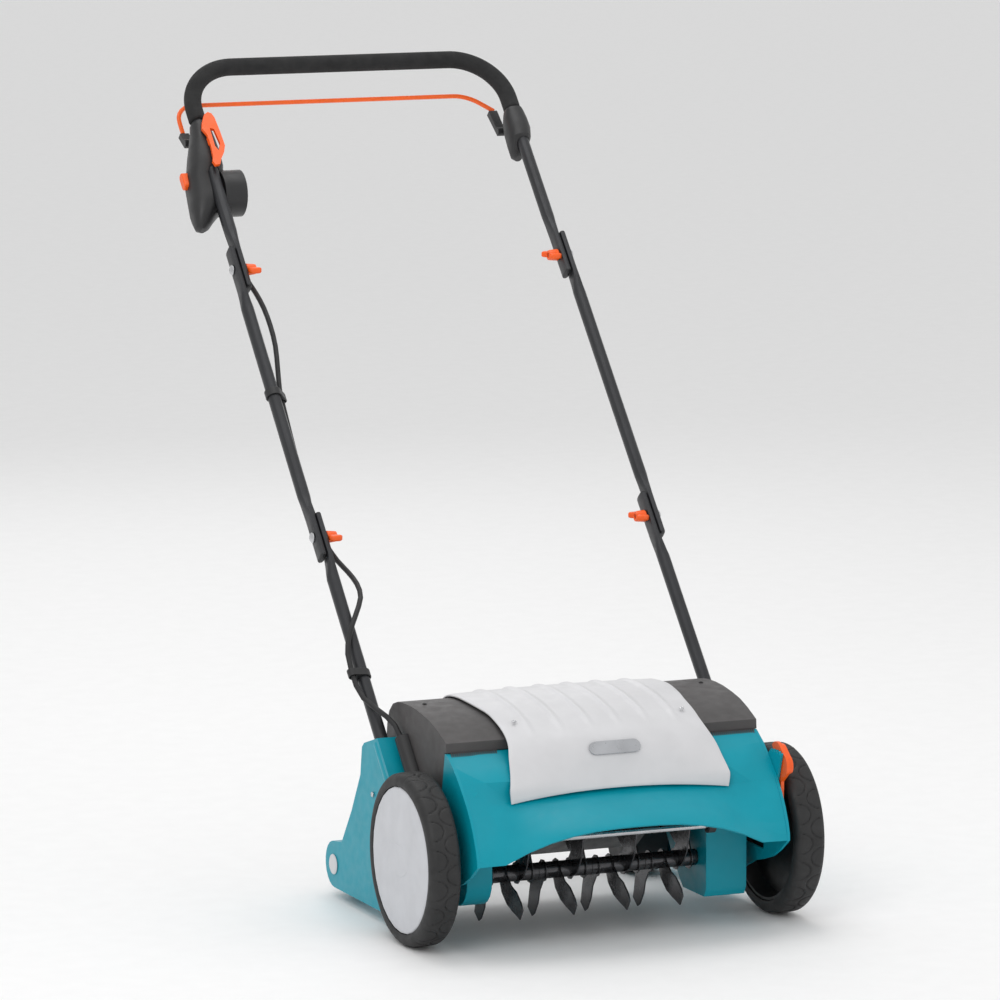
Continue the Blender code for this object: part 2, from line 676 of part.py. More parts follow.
def deck():
    """Ceiling over the rotor, with the two lugs that carry the cranked axle's bar."""
    under = offset_inward(DECK_LINE, SHEET)
    outline = [(y, level(z)) for y, z in DECK_LINE + under[::-1]]
    left = -(HALF_BODY - SIDE_WALL - GAP)
    plate = solid("deck", extrusion(outline, left, BOX_IN - GAP), BLACK)
    for name, x in (("lug_left", -0.1970), ("lug_right", BOX_IN - 0.0185)):
        ear = arc(CRANK_Y, level(CRANK_Z), 0.0110, 180, 360, 8)
        ear += [(CRANK_Y + 0.0110, level(0.0505)), (CRANK_Y - 0.0110, level(0.0495))]
        lug = extrusion(ear, x, x + 0.0100)
        combine(plate, solid(name, lug, None, cutter=True), "UNION")
    bore = turned([(left - 0.01, STUB_R + RUNNING), (BOX_IN + 0.01, STUB_R + RUNNING)],
                  CRANK_Y, level(CRANK_Z), SMALL_ROUND)
    combine(plate, solid("bar_bore", bore, None, cutter=True), "DIFFERENCE")


deck()


def bearing_box():
    """Carries the rotor's left bearing."""
    half = 0.0370
    outline = (arc(ROTOR_Y, level(ROTOR_Z), half, 180, 360, 10)
               + [(ROTOR_Y + half, level(0.0515)), (ROTOR_Y - half, level(0.0515))])
    bore = circle(ROTOR_Y, level(ROTOR_Z), SHAFT_R + RUNNING, SHAFT_ROUND)
    solid("bearing_box", extrusion(outline, -BOX_OUT, CHAMBER_LEFT, holes=(bore,)), TEAL)


bearing_box()


def belt_box():
    """Box beside the chamber, open towards the right side wall."""
    outline = [(-0.0340, 0.0500), (-0.0340, -0.0680), (-0.0280, -0.0800), (0.0400, -0.0805),
               (0.0520, -0.0700), (0.1450, 0.0450), (0.1500, 0.1300), (0.1300, 0.1450),
               (0.0900, 0.1450), (0.0600, 0.1250), (0.0100, 0.0800)]
    outline = [(y, level(z)) for y, z in outline]
    bores = (circle(ROTOR_Y, level(ROTOR_Z), SHAFT_R + RUNNING, SHAFT_ROUND),
             circle(MOTOR_Y, level(MOTOR_Z), MOTOR_SHAFT_R + RUNNING))
    box = solid("belt_box", extrusion(outline, BOX_IN, BOX_OUT, holes=bores), TEAL)
    middle_y = sum(y for y, z in outline) / len(outline)
    wall = 0.0030
    inner = []
    for i, (y, z) in enumerate(outline):
        y0, z0 = outline[i - 1]
        y1, z1 = outline[(i + 1) % len(outline)]
        one = Vector((z0 - z, y - y0)).normalized()
        two = Vector((z - z1, y1 - y)).normalized()
        normal = (one + two).normalized()
        reach = wall / max(0.35, normal.dot(one))
        inner.append((y + normal.x * reach, z + normal.y * reach))
    if abs(inner[0][0] - middle_y) > abs(outline[0][0] - middle_y):
        inner = [(2 * y - iy, 2 * z - iz) for (y, z), (iy, iz) in zip(outline, inner)]
    pocket = extrusion(inner, BOX_IN + wall, BOX_OUT + 0.0100)
    combine(box, solid("belt_pocket", pocket, None, cutter=True), "DIFFERENCE")


belt_box()


def pulleys_and_belt():
    joint_axis("rotor_axis", (0.0, ROTOR_Y, level(ROTOR_Z)), "machine")
    joint_axis("motor_axis", (0.0, MOTOR_Y, level(MOTOR_Z)), "machine")
    x0, x1 = PULLEY_X, PULLEY_X + PULLEY_WIDTH
    flange = 0.0022

    def pulley(name, y, z, r, bore, axis):
        profile = [(x0, bore), (x0, r + flange), (x0 + 0.0018, r + flange), (x0 + 0.0018, r),
                   (x1 - 0.0018, r), (x1 - 0.0018, r + flange), (x1, r + flange), (x1, bore)]
        solid(name, turned(profile, y, z, SHAFT_ROUND, closed=True), BLACK, axis)

    pulley("rotor_pulley", ROTOR_Y, level(ROTOR_Z), ROTOR_PULLEY_R, 0.0075 + GAP, "rotor_axis")
    pulley("motor_pulley", MOTOR_Y, level(MOTOR_Z), MOTOR_PULLEY_R, MOTOR_SHAFT_R + GAP, "motor_axis")

    def loop(extra):
        """Outline of the belt: both pulleys wrapped, joined by straight runs."""
        run = Vector((MOTOR_Y - ROTOR_Y, MOTOR_Z - ROTOR_Z))
        heading = degrees(atan2(run.y, run.x))
        lean = degrees(acos((ROTOR_PULLEY_R - MOTOR_PULLEY_R) / run.length))
        return (arc(ROTOR_Y, level(ROTOR_Z), ROTOR_PULLEY_R + extra, heading + lean,
                    heading + 360 - lean, 14)
                + arc(MOTOR_Y, level(MOTOR_Z), MOTOR_PULLEY_R + extra, heading - lean,
                      heading + lean, 8))

    belt = extrusion(loop(BELT_THICKNESS), x0 + 0.0022, x1 - 0.0022, holes=(loop(2 * GAP),))
    solid("drive_belt", belt, RUBBER)
    motor_end = BOX_IN - 0.0040
    casing = [(motor_end - MOTOR_LENGTH, 0.0), (motor_end - MOTOR_LENGTH, MOTOR_R * 0.55),
              (motor_end - MOTOR_LENGTH + 0.008, MOTOR_R * 0.9), (motor_end - MOTOR_LENGTH + 0.02, MOTOR_R),
              (motor_end - 0.006, MOTOR_R), (motor_end, MOTOR_R - 0.006),
              (motor_end, MOTOR_SHAFT_R + RUNNING), (motor_end - 0.030, MOTOR_SHAFT_R + RUNNING),
              (motor_end - 0.030, 0.0)]
    solid("motor", turned(casing, MOTOR_Y, level(MOTOR_Z), 24), DARK)
    spindle = [(motor_end - 0.028, 0.0), (motor_end - 0.028, MOTOR_SHAFT_R), (x1 + 0.004, MOTOR_SHAFT_R),
               (x1 + 0.004, 0.0)]
    solid("motor_shaft", turned(spindle, MOTOR_Y, level(MOTOR_Z), SMALL_ROUND), STEEL, "motor_axis")


pulleys_and_belt()


def blade_outline():
    """One blade seen from the side: it trails back from the ring and ends in a toe."""
    r = BLADE_RING_R
    tip = BLADE_TIP_R
    return (arc(0.0, 0.0, r, 35, 265, 7)
            + [(0.0100, -0.0300), (0.0150, -0.0470), (0.0270, -0.0640),
               (tip * sin(radians(27)), -tip * cos(radians(27))),
               (tip * sin(radians(40)), -tip * cos(radians(40))),
               (0.0470, -0.0500), (0.0440, -0.0360), (0.0380, -0.0160), (0.0250, 0.0020)])


def rotor():
    y, z = ROTOR_Y, level(ROTOR_Z)
    first = CHAMBER_LEFT + END_MARGIN
    length = PITCH * BLADES_PER_CLUSTER
    bore, seat = SHAFT_R + GAP, (SHAFT_R + GAP + SLEEVE_R) / 2
    start, end = -PITCH / 2 + GAP / 2, length - PITCH / 2 - GAP / 2
    sleeve = turned([(start, bore), (start, SLEEVE_R), (end, SLEEVE_R), (end, bore)], y, z, SHAFT_ROUND,
                    closed=True)
    master = solid("cluster_sleeve", sleeve, BLADE_STEEL, "rotor_axis", cutter=True)
    for k in range(BLADES_PER_CLUSTER):
        turn = -k * 2 * pi / BLADES_PER_CLUSTER
        outline = [(y + a * cos(turn) - b * sin(turn), z + a * sin(turn) + b * cos(turn))
                   for a, b in blade_outline()]
        plate = extrusion(outline, k * PITCH - BLADE_THICKNESS / 2, k * PITCH + BLADE_THICKNESS / 2,
                          holes=(circle(y, z, seat, SHAFT_ROUND),))
        combine(master, solid(f"cluster_blade_{k}", plate, None, "rotor_axis", cutter=True), "UNION")
    bpy.context.view_layer.update()
    built = bpy.data.meshes.new_from_object(
        master.evaluated_get(bpy.context.evaluated_depsgraph_get()))
    built.name = "blade_cluster"
    for c in range(CLUSTERS):
        cluster = hang(bpy.data.objects.new(f"blades_{c + 1}", built), "rotor_axis")
        cluster.location.x = first + c * length
    for made in [o for o in bpy.data.objects if o.name.startswith("cluster_")]:
        bpy.data.objects.remove(made, do_unlink=True)
    journal = 0.0075
    left, right = -BOX_OUT + 0.0060, PULLEY_X + PULLEY_WIDTH + 0.0040
    shaft = [(left, 0.0), (left, SHAFT_R), (BOX_IN + 0.0060, SHAFT_R), (BOX_IN + 0.0060, journal),
             (right, journal), (right, 0.0)]
    solid("rotor_shaft", turned(shaft, y, z, SHAFT_ROUND), SHAFT_STEEL, "rotor_axis")


rotor()

# ---------------------------------------------------------------- rear brackets and rollers
TUBE_FOOT = -(sqrt(BOLT_Y ** 2 + BOLT_Z ** 2) - WHEEL_R - TYRE_CLEARANCE - TUBE_R - 0.0030)


def bracket(hand, sign):
    """Hollow moulding that carries a rear roller and a handle tube; its back is open."""
    clear = WHEEL_R + TYRE_CLEARANCE
    foot_z = 0.0165
    roller_z = ROLLER_R
    nose = arc(ROLLER_Y, roller_z, BRACKET_NOSE_R, -92, 75, 10)
    front_top = handle(0.0, TUBE_FOOT - 0.0040, -SOCKET_R)
    start = degrees(atan2(front_top.z - WHEEL_R, front_top.y))
    end = -degrees(acos(sqrt(clear ** 2 - (WHEEL_R - foot_z) ** 2) / clear))
    sweep = arc(0.0, WHEEL_R, clear, start, end, 12)
    crown = handle(0.0, SOCKET_TOP + 0.0010, -SOCKET_R)
    outline = (nose + [(0.2784, level(-0.0326)), (0.2400, level(0.0200)), (0.2080, level(0.0740)),
                       (0.2020, level(0.1130)), (0.1940, level(0.1200)), (crown.y, crown.z)]
               + [(front_top.y, front_top.z)] + sweep[1:])
    inner_x, outer_x = sign * (HALF_BODY + GAP), sign * BRACKET_OUT
    bm = extrusion(outline, outer_x, inner_x)
    bm.faces.ensure_lookup_table()
    back = min(bm.faces, key=lambda f: abs(f.calc_center_median().x - inner_x))
    bmesh.ops.recalc_face_normals(bm, faces=bm.faces)
    bmesh.ops.inset_individual(bm, faces=[back], thickness=BRACKET_WALL, use_even_offset=True)
    bmesh.ops.translate(bm, verts=back.verts, vec=(outer_x - inner_x - sign * BRACKET_WALL, 0.0, 0.0))
    plate = solid(f"bracket_{hand}", bm, TEAL)
    tube_x = sign * SOCKET_TUBE_X
    socket = handle_cylinder(tube_x, TUBE_FOOT - 0.0030, SOCKET_TOP, 0.0, SOCKET_R, 20)
    combine(plate, solid(f"socket_{hand}", socket, None, cutter=True), "UNION")
    boss = turned([(outer_x - sign * 0.0010, 0.0120), (sign * (HALF_BODY + 0.0030), 0.0120)],
                  ROLLER_Y, roller_z, SMALL_ROUND)
    combine(plate, solid(f"roller_boss_{hand}", boss, None, cutter=True), "UNION")
    bore = handle_cylinder(tube_x, TUBE_FOOT - GAP, SOCKET_TOP + 0.0200, 0.0, TUBE_R + GAP, 20)
    combine(plate, solid(f"socket_bore_{hand}", bore, None, cutter=True), "DIFFERENCE")
    pin_bore = turned([(outer_x + sign * 0.0100, REAR_AXLE_R + GAP),
                       (sign * (HALF_BODY - 0.0100), REAR_AXLE_R + GAP)],
                      ROLLER_Y, roller_z, SMALL_ROUND)
    combine(plate, solid(f"axle_bore_{hand}", pin_bore, None, cutter=True), "DIFFERENCE")
    cap_r = ROLLER_CAP_R
    cap = [(outer_x + sign * GAP, 0.0), (outer_x + sign * GAP, cap_r),
           (outer_x + sign * 0.0018, cap_r), (outer_x + sign * 0.0032, cap_r - 0.0030),
           (outer_x + sign * 0.0037, 0.0)]
    solid(f"roller_cap_{hand}", turned(cap, ROLLER_Y, roller_z, 24), LIGHT)
    axis = joint_axis(f"roller_axis_{hand}", (0.0, ROLLER_Y, roller_z), "machine")
    a = sign * (HALF_BODY - 0.0005)
    b = a - sign * ROLLER_WIDTH
    edge = 0.0030
    profile = [(a, REAR_AXLE_R + RUNNING), (a, ROLLER_R - edge), (a - sign * edge, ROLLER_R),
               (b + sign * edge, ROLLER_R), (b, ROLLER_R - edge), (b, REAR_AXLE_R + RUNNING)]
    solid(f"roller_{hand}", turned(profile, ROLLER_Y, roller_z, ROUND, closed=True), RUBBER, axis)


for hand, sign in (("left", -1), ("right", 1)):
    bracket(hand, sign)

reach = BRACKET_OUT - 0.0005
solid("rear_axle", turned([(-reach, 0.0), (-reach, REAR_AXLE_R), (reach, REAR_AXLE_R), (reach, 0.0)],
                          ROLLER_Y, ROLLER_R, SMALL_ROUND), STEEL)

# ---------------------------------------------------------------- handle
joint_axis("lower_fold_axis", handle(0.0, 0.0), "machine")
joint_axis("upper_fold_axis", handle(0.0, MIDDLE_LENGTH), "lower_fold_axis")


def squashed(along, bolt, outward):
    """How flat a tube is at a place: 0 round, 1 fully squashed about its bolt."""
    past = (along - bolt) * outward
    return max(0.0, min(1.0, 1.0 - (-past - LAP_BEYOND) / LAP_BLEND))


def tube_rings(stations, plane, lap_plane, bolts, wall):
    """Rings of a handle tube; bolts is a list of (place, direction of the free end)."""
    rings = []
    for along in stations:
        flat = max([squashed(along, bolt, outward) for bolt, outward in bolts] + [0.0])
        half_x = (TUBE_R + (LAP_DEPTH / 2 - TUBE_R) * flat) - wall
        half_b = TUBE_R * (1.0 + 0.30 * flat) - wall
        rings.append(handle_ring(plane + (lap_plane - plane) * flat, along, 0.0, half_x, half_b,
                                 TUBE_SIDES, 2.0 + 1.2 * flat))
    return rings


def lap_stations(bolt, outward):
    """Places along a tube where its squashed end needs a ring, from the free end inwards."""
    places = [bolt + outward * LAP_BEYOND, bolt - outward * LAP_BEYOND]
    places += [bolt - outward * (LAP_BEYOND + LAP_BLEND * t) for t in (0.33, 0.67, 1.0)]
    return places


def drilled(tube, bolts, sign, axis):
    for k, along in enumerate(bolts):
        hole = cross_cylinder(along, 0.0, sign * 0.2200, sign * 0.2800, BOLT_HOLE_R, 12)
        combine(tube, solid(f"{tube.name}_hole_{k}", hole, None, axis, cutter=True), "DIFFERENCE")


def straight_tube(name, sign, stations, plane, bolts, axis, lap_plane):
    outer = tube_rings(stations, sign * plane, sign * lap_plane, bolts, 0.0)
    inner = tube_rings(stations, sign * plane, sign * lap_plane, bolts, TUBE_WALL)
    tube = solid(name, lofted(outer, inner), TUBE_PAINT, axis)
    drilled(tube, [bolt for bolt, _ in bolts], sign, axis)


for hand, sign in (("left", -1), ("right", 1)):
    low = [TUBE_FOOT] + lap_stations(0.0, 1)[::-1]
    straight_tube(f"lower_tube_{hand}", sign, low, SOCKET_TUBE_X, [(0.0, 1)], "machine", INNER_TUBE_X)
    mid = lap_stations(0.0, -1) + lap_stations(MIDDLE_LENGTH, 1)[::-1]
    straight_tube(f"middle_tube_{hand}", sign, mid, MIDDLE_TUBE_X, [(0.0, -1), (MIDDLE_LENGTH, 1)],
                  "lower_fold_axis", MIDDLE_TUBE_X)


def bent_rings(path, r, n):
    """Round rings square to a path that lies in the handle's plane."""
    rings = []
    square = handle(0.0, 0.0, 1.0) - handle(0.0, 0.0, 0.0)
    for i, point in enumerate(path):
        ahead = path[min(i + 1, len(path) - 1)] - path[max(i - 1, 0)]
        sideways = ahead.normalized().cross(square).normalized()
        rings.append([point + sideways * (r * cos(2 * pi * (k + 0.5) / n))
                      + square * (r * sin(2 * pi * (k + 0.5) / n)) for k in range(n)])
    return rings


def upper_tube_and_grip():
    """U-shaped top section, with squashed lower ends, and the foam grip around its bend."""
    x = INNER_TUBE_X
    leg = lap_stations(MIDDLE_LENGTH, -1)
    bend_start = GRIP_REACH - CORNER_R
    n, steps = TUBE_SIDES, 5
    corners = []
    for sign in (-1, 1):
        corners.append([handle(sign * (x - CORNER_R + CORNER_R * cos(a)), bend_start + CORNER_R * sin(a))
                        for a in [pi / 2 * k / steps for k in range(steps + 1)]])
    bend = corners[0] + corners[1][::-1]

    def skin(wall):
        left = tube_rings(leg, -x, -x, [(MIDDLE_LENGTH, -1)], wall)
        right = tube_rings(leg, x, x, [(MIDDLE_LENGTH, -1)], wall)
        around = bent_rings(bend, TUBE_R - wall, n)
        return left, around, right

    def aligned(rings):
        """Turn each ring's start, and its sense, so that neighbours face each other."""
        out = [rings[0]]
        for ring in rings[1:]:
            best = None
            for sense in (1, -1):
                for shift in range(n):
                    tried = [ring[(shift + sense * k) % n] for k in range(n)]
                    miss = sum((a - b).length_squared for a, b in zip(tried, out[-1]))
                    if best is None or miss < best[0]:
                        best = (miss, tried)
            out.append(best[1])
        return out

    outer_parts, inner_parts = skin(0.0), skin(TUBE_WALL)
    outer = aligned(outer_parts[0] + outer_parts[1] + outer_parts[2][::-1])
    inner = aligned(inner_parts[0] + inner_parts[1] + inner_parts[2][::-1])
    inner = [max(([ring[(s + k) % n] for k in range(n)] for s in range(n)),
                 key=lambda tried, o=o: -sum((a - b).length_squared for a, b in zip(tried, o)))
             for ring, o in zip(inner, outer)]
    tube = solid("upper_tube", lofted(outer, inner), TUBE_PAINT, "upper_fold_axis")
    for sign, label in ((-1, "left"), (1, "right")):
        hole = cross_cylinder(MIDDLE_LENGTH, 0.0, sign * 0.2200, sign * 0.2800, BOLT_HOLE_R, 12)
        combine(tube, solid(f"upper_hole_{label}", hole, None, "upper_fold_axis", cutter=True),
                "DIFFERENCE")
    held = [handle(-x, GRIP_END)] + bend + [handle(x, GRIP_END)]
    foam = lofted(bent_rings(held, GRIP_R, n), bent_rings(held, TUBE_R + GAP, n))
    solid("grip", foam, FOAM, "upper_fold_axis")


upper_tube_and_grip()


def clamp(hand, sign, label, along):
    """Coach bolt through the lap and the wing nut on its inner end."""
    place = handle(0.0, along)
    out = sign * (MIDDLE_TUBE_X + LAP_DEPTH / 2 + GAP)
    face = sign * (INNER_TUBE_X - LAP_DEPTH / 2 - GAP)
    end = face - sign * (NUT_LENGTH - 0.0020)
    bolt = [(out + sign * 0.0042, 0.0), (out + sign * 0.0036, BOLT_HEAD_R * 0.55),
            (out + sign * 0.0014, BOLT_HEAD_R), (out, BOLT_HEAD_R), (out, BOLT_R),
            (end, BOLT_R), (end, 0.0)]
    solid(f"bolt_{label}_{hand}", turned(bolt, place.y, place.z, 12), STEEL, "lower_fold_axis")
    axis = joint_axis(f"nut_axis_{label}_{hand}", place, "lower_fold_axis")
    hub = [(face, BOLT_R + 0.0004), (face, NUT_R), (face - sign * NUT_LENGTH, NUT_R * 0.85),
           (face - sign * NUT_LENGTH, BOLT_R + 0.0004)]
    nut = solid(f"wing_nut_{label}_{hand}", turned(hub, place.y, place.z, 14, closed=True), ORANGE, axis)
    for k, wing_sign in enumerate((-1, 1)):
        wing = [(0.0060, 0.0045), (0.0150, 0.0030), (0.0190, 0.0080), (0.0190, 0.0195), (0.0150, 0.0215),
                (0.0060, 0.0140)]
        bm = extrusion(wing, -0.0022, 0.0022,
                       place=lambda a, d, t, s=wing_sign: Vector(
                           (face - sign * (d - 0.0030), place.y + s * a, place.z + t)))
        combine(nut, solid(f"wing_{label}_{hand}_{k}", bm, None, axis, cutter=True), "UNION")


for label, along in (("lower", 0.0), ("upper", MIDDLE_LENGTH)):
    for hand, sign in (("left", -1), ("right", 1)):
        clamp(hand, sign, label, along)

# ---------------------------------------------------------------- switch, bail, cable
# Sections of the two housings: along the handle, then centre x and how far behind the plane,
# then half width and half depth.
SWITCH_SECTIONS = [
    (0.5460, -0.2700, 0.0300, 0.0040, 0.0060), (0.5520, -0.2685, 0.0300, 0.0110, 0.0130),
    (0.5636, -0.2640, 0.0290, 0.0165, 0.0200), (0.5760, -0.2580, 0.0270, 0.0235, 0.0245),
    (0.5900, -0.2535, 0.0255, 0.0270, 0.0270), (0.6237, -0.2500, 0.0240, 0.0275, 0.0285),
    (0.6380, -0.2480, 0.0170, 0.0265, 0.0300), (0.6610, -0.2450, 0.0125, 0.0235, 0.0260),
    (0.6810, -0.2435, 0.0075, 0.0190, 0.0215), (0.6990, -0.2430, 0.0015, 0.0150, 0.0160),
    (0.7080, -0.2430, 0.0000, 0.0135, 0.0138)]
PIVOT_SECTIONS = [
    (0.6440, 0.2395, 0.0220, 0.0050, 0.0070), (0.6500, 0.2400, 0.0200, 0.0110, 0.0130),
    (0.6640, 0.2415, 0.0085, 0.0165, 0.0220), (0.6800, 0.2430, 0.0065, 0.0185, 0.0210),
    (0.6980, 0.2430, 0.0040, 0.0175, 0.0180), (0.7090, 0.2430, 0.0010, 0.0150, 0.0150),
    (0.7135, 0.2430, 0.0000, 0.0135, 0.0138)]


def housing(name, sections, ear_x, tube_x):
    """Rounded shell clamped round the tube, with the ear that carries one end of the bail."""
    rings = [handle_ring(x, s, b, rx, rb, 20, 2.4) for s, x, b, rx, rb in sections]
    shell = solid(name, lofted(rings), BLACK, "upper_fold_axis")
    along, behind = BAIL_PIVOT
    a, b = sorted(ear_x)
    ear = extrusion([(along - 0.0200, 0.0100), (along - 0.0060, 0.0060)]
                    + arc(along, behind, LUG_R, -20, 160, 8),
                    a, b, place=lambda s, h, x: handle(x, s, h))
    combine(shell, solid(f"{name}_ear", ear, None, "upper_fold_axis", cutter=True), "UNION")
    return shell, (along, behind, a, b, tube_x)


def cut_housing(shell, ear):
    along, behind, a, b, tube_x = ear
    tube = handle_cylinder(tube_x, 0.5200, 0.7400, 0.0, TUBE_R + GAP, 20)
    combine(shell, solid(f"{shell.name}_tube_bore", tube, None, "upper_fold_axis", cutter=True),
            "DIFFERENCE")
    pin = cross_cylinder(along, behind, a - 0.0020, b + 0.0020, PIVOT_PIN_R + RUNNING, 12)
    combine(shell, solid(f"{shell.name}_pin_bore", pin, None, "upper_fold_axis", cutter=True),
            "DIFFERENCE")


def switch_housing():
    x = BAIL_LEFT_X + LUG_WIDTH / 2 + GAP
    shell, ear = housing("switch_housing", SWITCH_SECTIONS, (x, x + 0.0080), -INNER_TUBE_X)
    along, behind = SHROUD_AXIS
    beside_tube = -INNER_TUBE_X + TUBE_R + 2 * GAP
    cup = cross_cylinder(along, behind, beside_tube, SHROUD_END_X, SHROUD_R, 24)
    combine(shell, solid("shroud", cup, None, "upper_fold_axis", cutter=True), "UNION")
    mouth = cross_cylinder(along, behind, SHROUD_END_X - SHROUD_DEPTH, SHROUD_END_X + 0.0200,
                           SHROUD_R - SHROUD_WALL, 24)
    combine(shell, solid("shroud_mouth", mouth, None, "upper_fold_axis", cutter=True), "DIFFERENCE")
    cut_housing(shell, ear)
    cable = handle_cylinder(-0.2435, 0.5500, 0.5900, 0.0145, CABLE_R + GAP, 12)
    combine(shell, solid("cable_exit", cable, None, "upper_fold_axis", cutter=True), "DIFFERENCE")
    s, h = BUTTON_PLACE
    long, wide = BUTTON_SIZE
    inner = BUTTON_OUT_X + BUTTON_LENGTH

    def button_outline(extra):
        corner = 0.0050
        half_s, half_h = long / 2 + extra - corner, wide / 2 + extra - corner
        return [(s + i * half_s + corner * cos(radians(a)), h + j * half_h + corner * sin(radians(a)))
                for i, j, quarter in ((1, 1, 0), (-1, 1, 90), (-1, -1, 180), (1, -1, 270))
                for a in (quarter, quarter + 45, quarter + 90)]

    pocket = extrusion(button_outline(RUNNING), inner + BUTTON_TRAVEL + 0.0010, BUTTON_OUT_X - 0.0200,
                       place=lambda a, b, c: handle(c, a, b))
    combine(shell, solid("button_pocket", pocket, None, "upper_fold_axis", cutter=True), "DIFFERENCE")
    button = extrusion(button_outline(0.0), inner, BUTTON_OUT_X, place=lambda a, b, c: handle(c, a, b))
    made = solid("lockout_button", button, ORANGE, "upper_fold_axis")
    soften = made.modifiers.new("rounded", "BEVEL")
    soften.width = 0.0012
    soften.segments = 1
    soften.limit_method = "ANGLE"


switch_housing()


def pivot_housing():
    x = BAIL_RIGHT_X + LUG_WIDTH / 2 + GAP
    shell, ear = housing("pivot_housing", PIVOT_SECTIONS, (x, x + 0.0080), INNER_TUBE_X)
    cut_housing(shell, ear)


pivot_housing()


def cable_hook():
    """Flat hook in front of the switch that holds the extension lead's loop."""
    outline = [(-0.2335, 0.7165), (-0.2285, 0.7140), (-0.2255, 0.7060), (-0.2235, 0.6800),
               (-0.2225, 0.6560), (-0.2270, 0.6440), (-0.2340, 0.6330), (-0.2375, 0.6240),
               (-0.2450, 0.6225), (-0.2475, 0.6300), (-0.2450, 0.6370), (-0.2435, 0.6560),
               (-0.2440, 0.6760), (-0.2490, 0.6880), (-0.2460, 0.6990), (-0.2400, 0.7120)]
    slot = [(-0.2375, 0.6880), (-0.2315, 0.6860), (-0.2285, 0.6600), (-0.2340, 0.6480),
            (-0.2375, 0.6560)]
    plate = extrusion(outline, -0.0215, -0.0165, place=facing, holes=(slot,))
    hook = solid("cable_hook", plate, ORANGE, "upper_fold_axis")
    stalk = extrusion([(-0.2440, 0.6620), (-0.2380, 0.6620), (-0.2380, 0.6740), (-0.2440, 0.6740)],
                      -0.0175, -0.0144, place=facing)
    combine(hook, solid("hook_stalk", stalk, None, "upper_fold_axis", cutter=True), "UNION")


cable_hook()


def bail():
    """Spring-loaded bar behind the grip; each end sits in a black lug with a pivot pin."""
    along, behind = BAIL_PIVOT
    axis = joint_axis("bail_axis", handle(0.0, along, behind), "upper_fold_axis")
    foot = BAIL_BAR - 0.0500
    corners = [(BAIL_LEFT_X, foot), (BAIL_LEFT_X, BAIL_BAR), (0.2000, BAIL_BAR),
               (BAIL_RIGHT_X + 0.0040, BAIL_BAR - 0.0300)]
    flat = fillet([Vector(c) for c in corners], [0.0280, 0.0600], 6)
    rod("bail_rod", [handle(p.x, p.y, BAIL_DROP) for p in flat], BAIL_R, ORANGE, axis, 3)
    ends = ((BAIL_LEFT_X, foot, 1), (BAIL_RIGHT_X, BAIL_BAR - 0.0300, 1))
    for (x, top, _), hand in zip(ends, ("left", "right")):
        a, b = x - LUG_WIDTH / 2, x + LUG_WIDTH / 2
        reach = BAIL_DROP + 0.0055
        outline = (arc(along, behind, LUG_R, 150, 340, 8)
                   + [(top - LUG_END, BAIL_DROP - 0.0055), (top - LUG_END, reach)])
        lug = solid(f"bail_lug_{hand}", extrusion(outline, a, b, place=lambda s, h, c: handle(c, s, h)),
                    BLACK, axis)
        pin = cross_cylinder(along, behind, b - 0.0020, b + GAP + 0.0075, PIVOT_PIN_R, 12)
        combine(lug, solid(f"bail_pin_{hand}", pin, None, axis, cutter=True), "UNION")


bail()

# The motor's lead, from the switch to the guard.  Each list is x, along and behind the handle.
LEAD_UPPER = [(-0.2435, 0.5880, 0.0145), (-0.2435, 0.5700, 0.0145), (-0.2433, 0.5400, 0.0145),
              (-0.2415, 0.5100, 0.0160), (-0.2355, 0.4800, 0.0215), (-0.2290, MIDDLE_LENGTH, 0.0250)]
LEAD_MIDDLE = [(-0.2290, MIDDLE_LENGTH, 0.0250), (-0.2225, 0.4300, 0.0240), (-0.2195, 0.4000, 0.0190),
               (-0.2195, 0.3650, 0.0150), (-0.2220, 0.3300, 0.0130), (-0.2290, 0.2900, 0.0122),
               (-0.2355, 0.2550, 0.0120), (-0.2375, 0.2250, 0.0125), (-0.2395, 0.1700, 0.0135),
               (-0.2415, 0.1100, 0.0140), (-0.2400, 0.0650, 0.0165), (-0.2345, 0.0300, 0.0220),
               (-0.2290, 0.0, 0.0250)]
LEAD_LOWER = [(-0.2290, 0.0, 0.0250), (-0.2215, -0.0250, 0.0230), (-0.2145, -0.0500, 0.0150),
              (-0.2130, -0.0780, 0.0020), (-0.2195, -0.1080, -0.0110), (-0.2360, -0.1380, -0.0165),
              (-0.2530, -0.1680, -0.0145), (-0.2610, -0.1950, -0.0090), (-0.2620, -0.2200, -0.0070),
              (-0.2620, -0.2450, -0.0080), (-0.2590, -0.2680, -0.0125), (-0.2500, -0.2880, -0.0185),
              (-0.2400, -0.3060, -0.0240), (-0.2335, -0.3240, -0.0285), (-0.2314, -0.3430, -0.0300),
              (-0.2314, -0.3560, -0.0300)]
LEAD_SPACING = 0.0170
LEAD_GAP = 0.0010           # at each end where two lengths of the lead meet
CLIP_MIDDLE, CLIP_LOWER = 0.2400, -0.2250


def lead(name, route, axis, start_gap, end_gap):
    points = flow([handle(*p) for p in route], LEAD_SPACING)
    points[0] = points[0] + (points[1] - points[0]).normalized() * start_gap
    points[-1] = points[-1] + (points[-2] - points[-1]).normalized() * end_gap
    rod(name, points, CABLE_R, RUBBER, axis, 2)


lead("cable_upper", LEAD_UPPER, "upper_fold_axis", 0.0, LEAD_GAP)
lead("cable_middle", LEAD_MIDDLE, "lower_fold_axis", LEAD_GAP, LEAD_GAP)
lead("cable_lower", LEAD_LOWER, "machine", LEAD_GAP, 0.0)


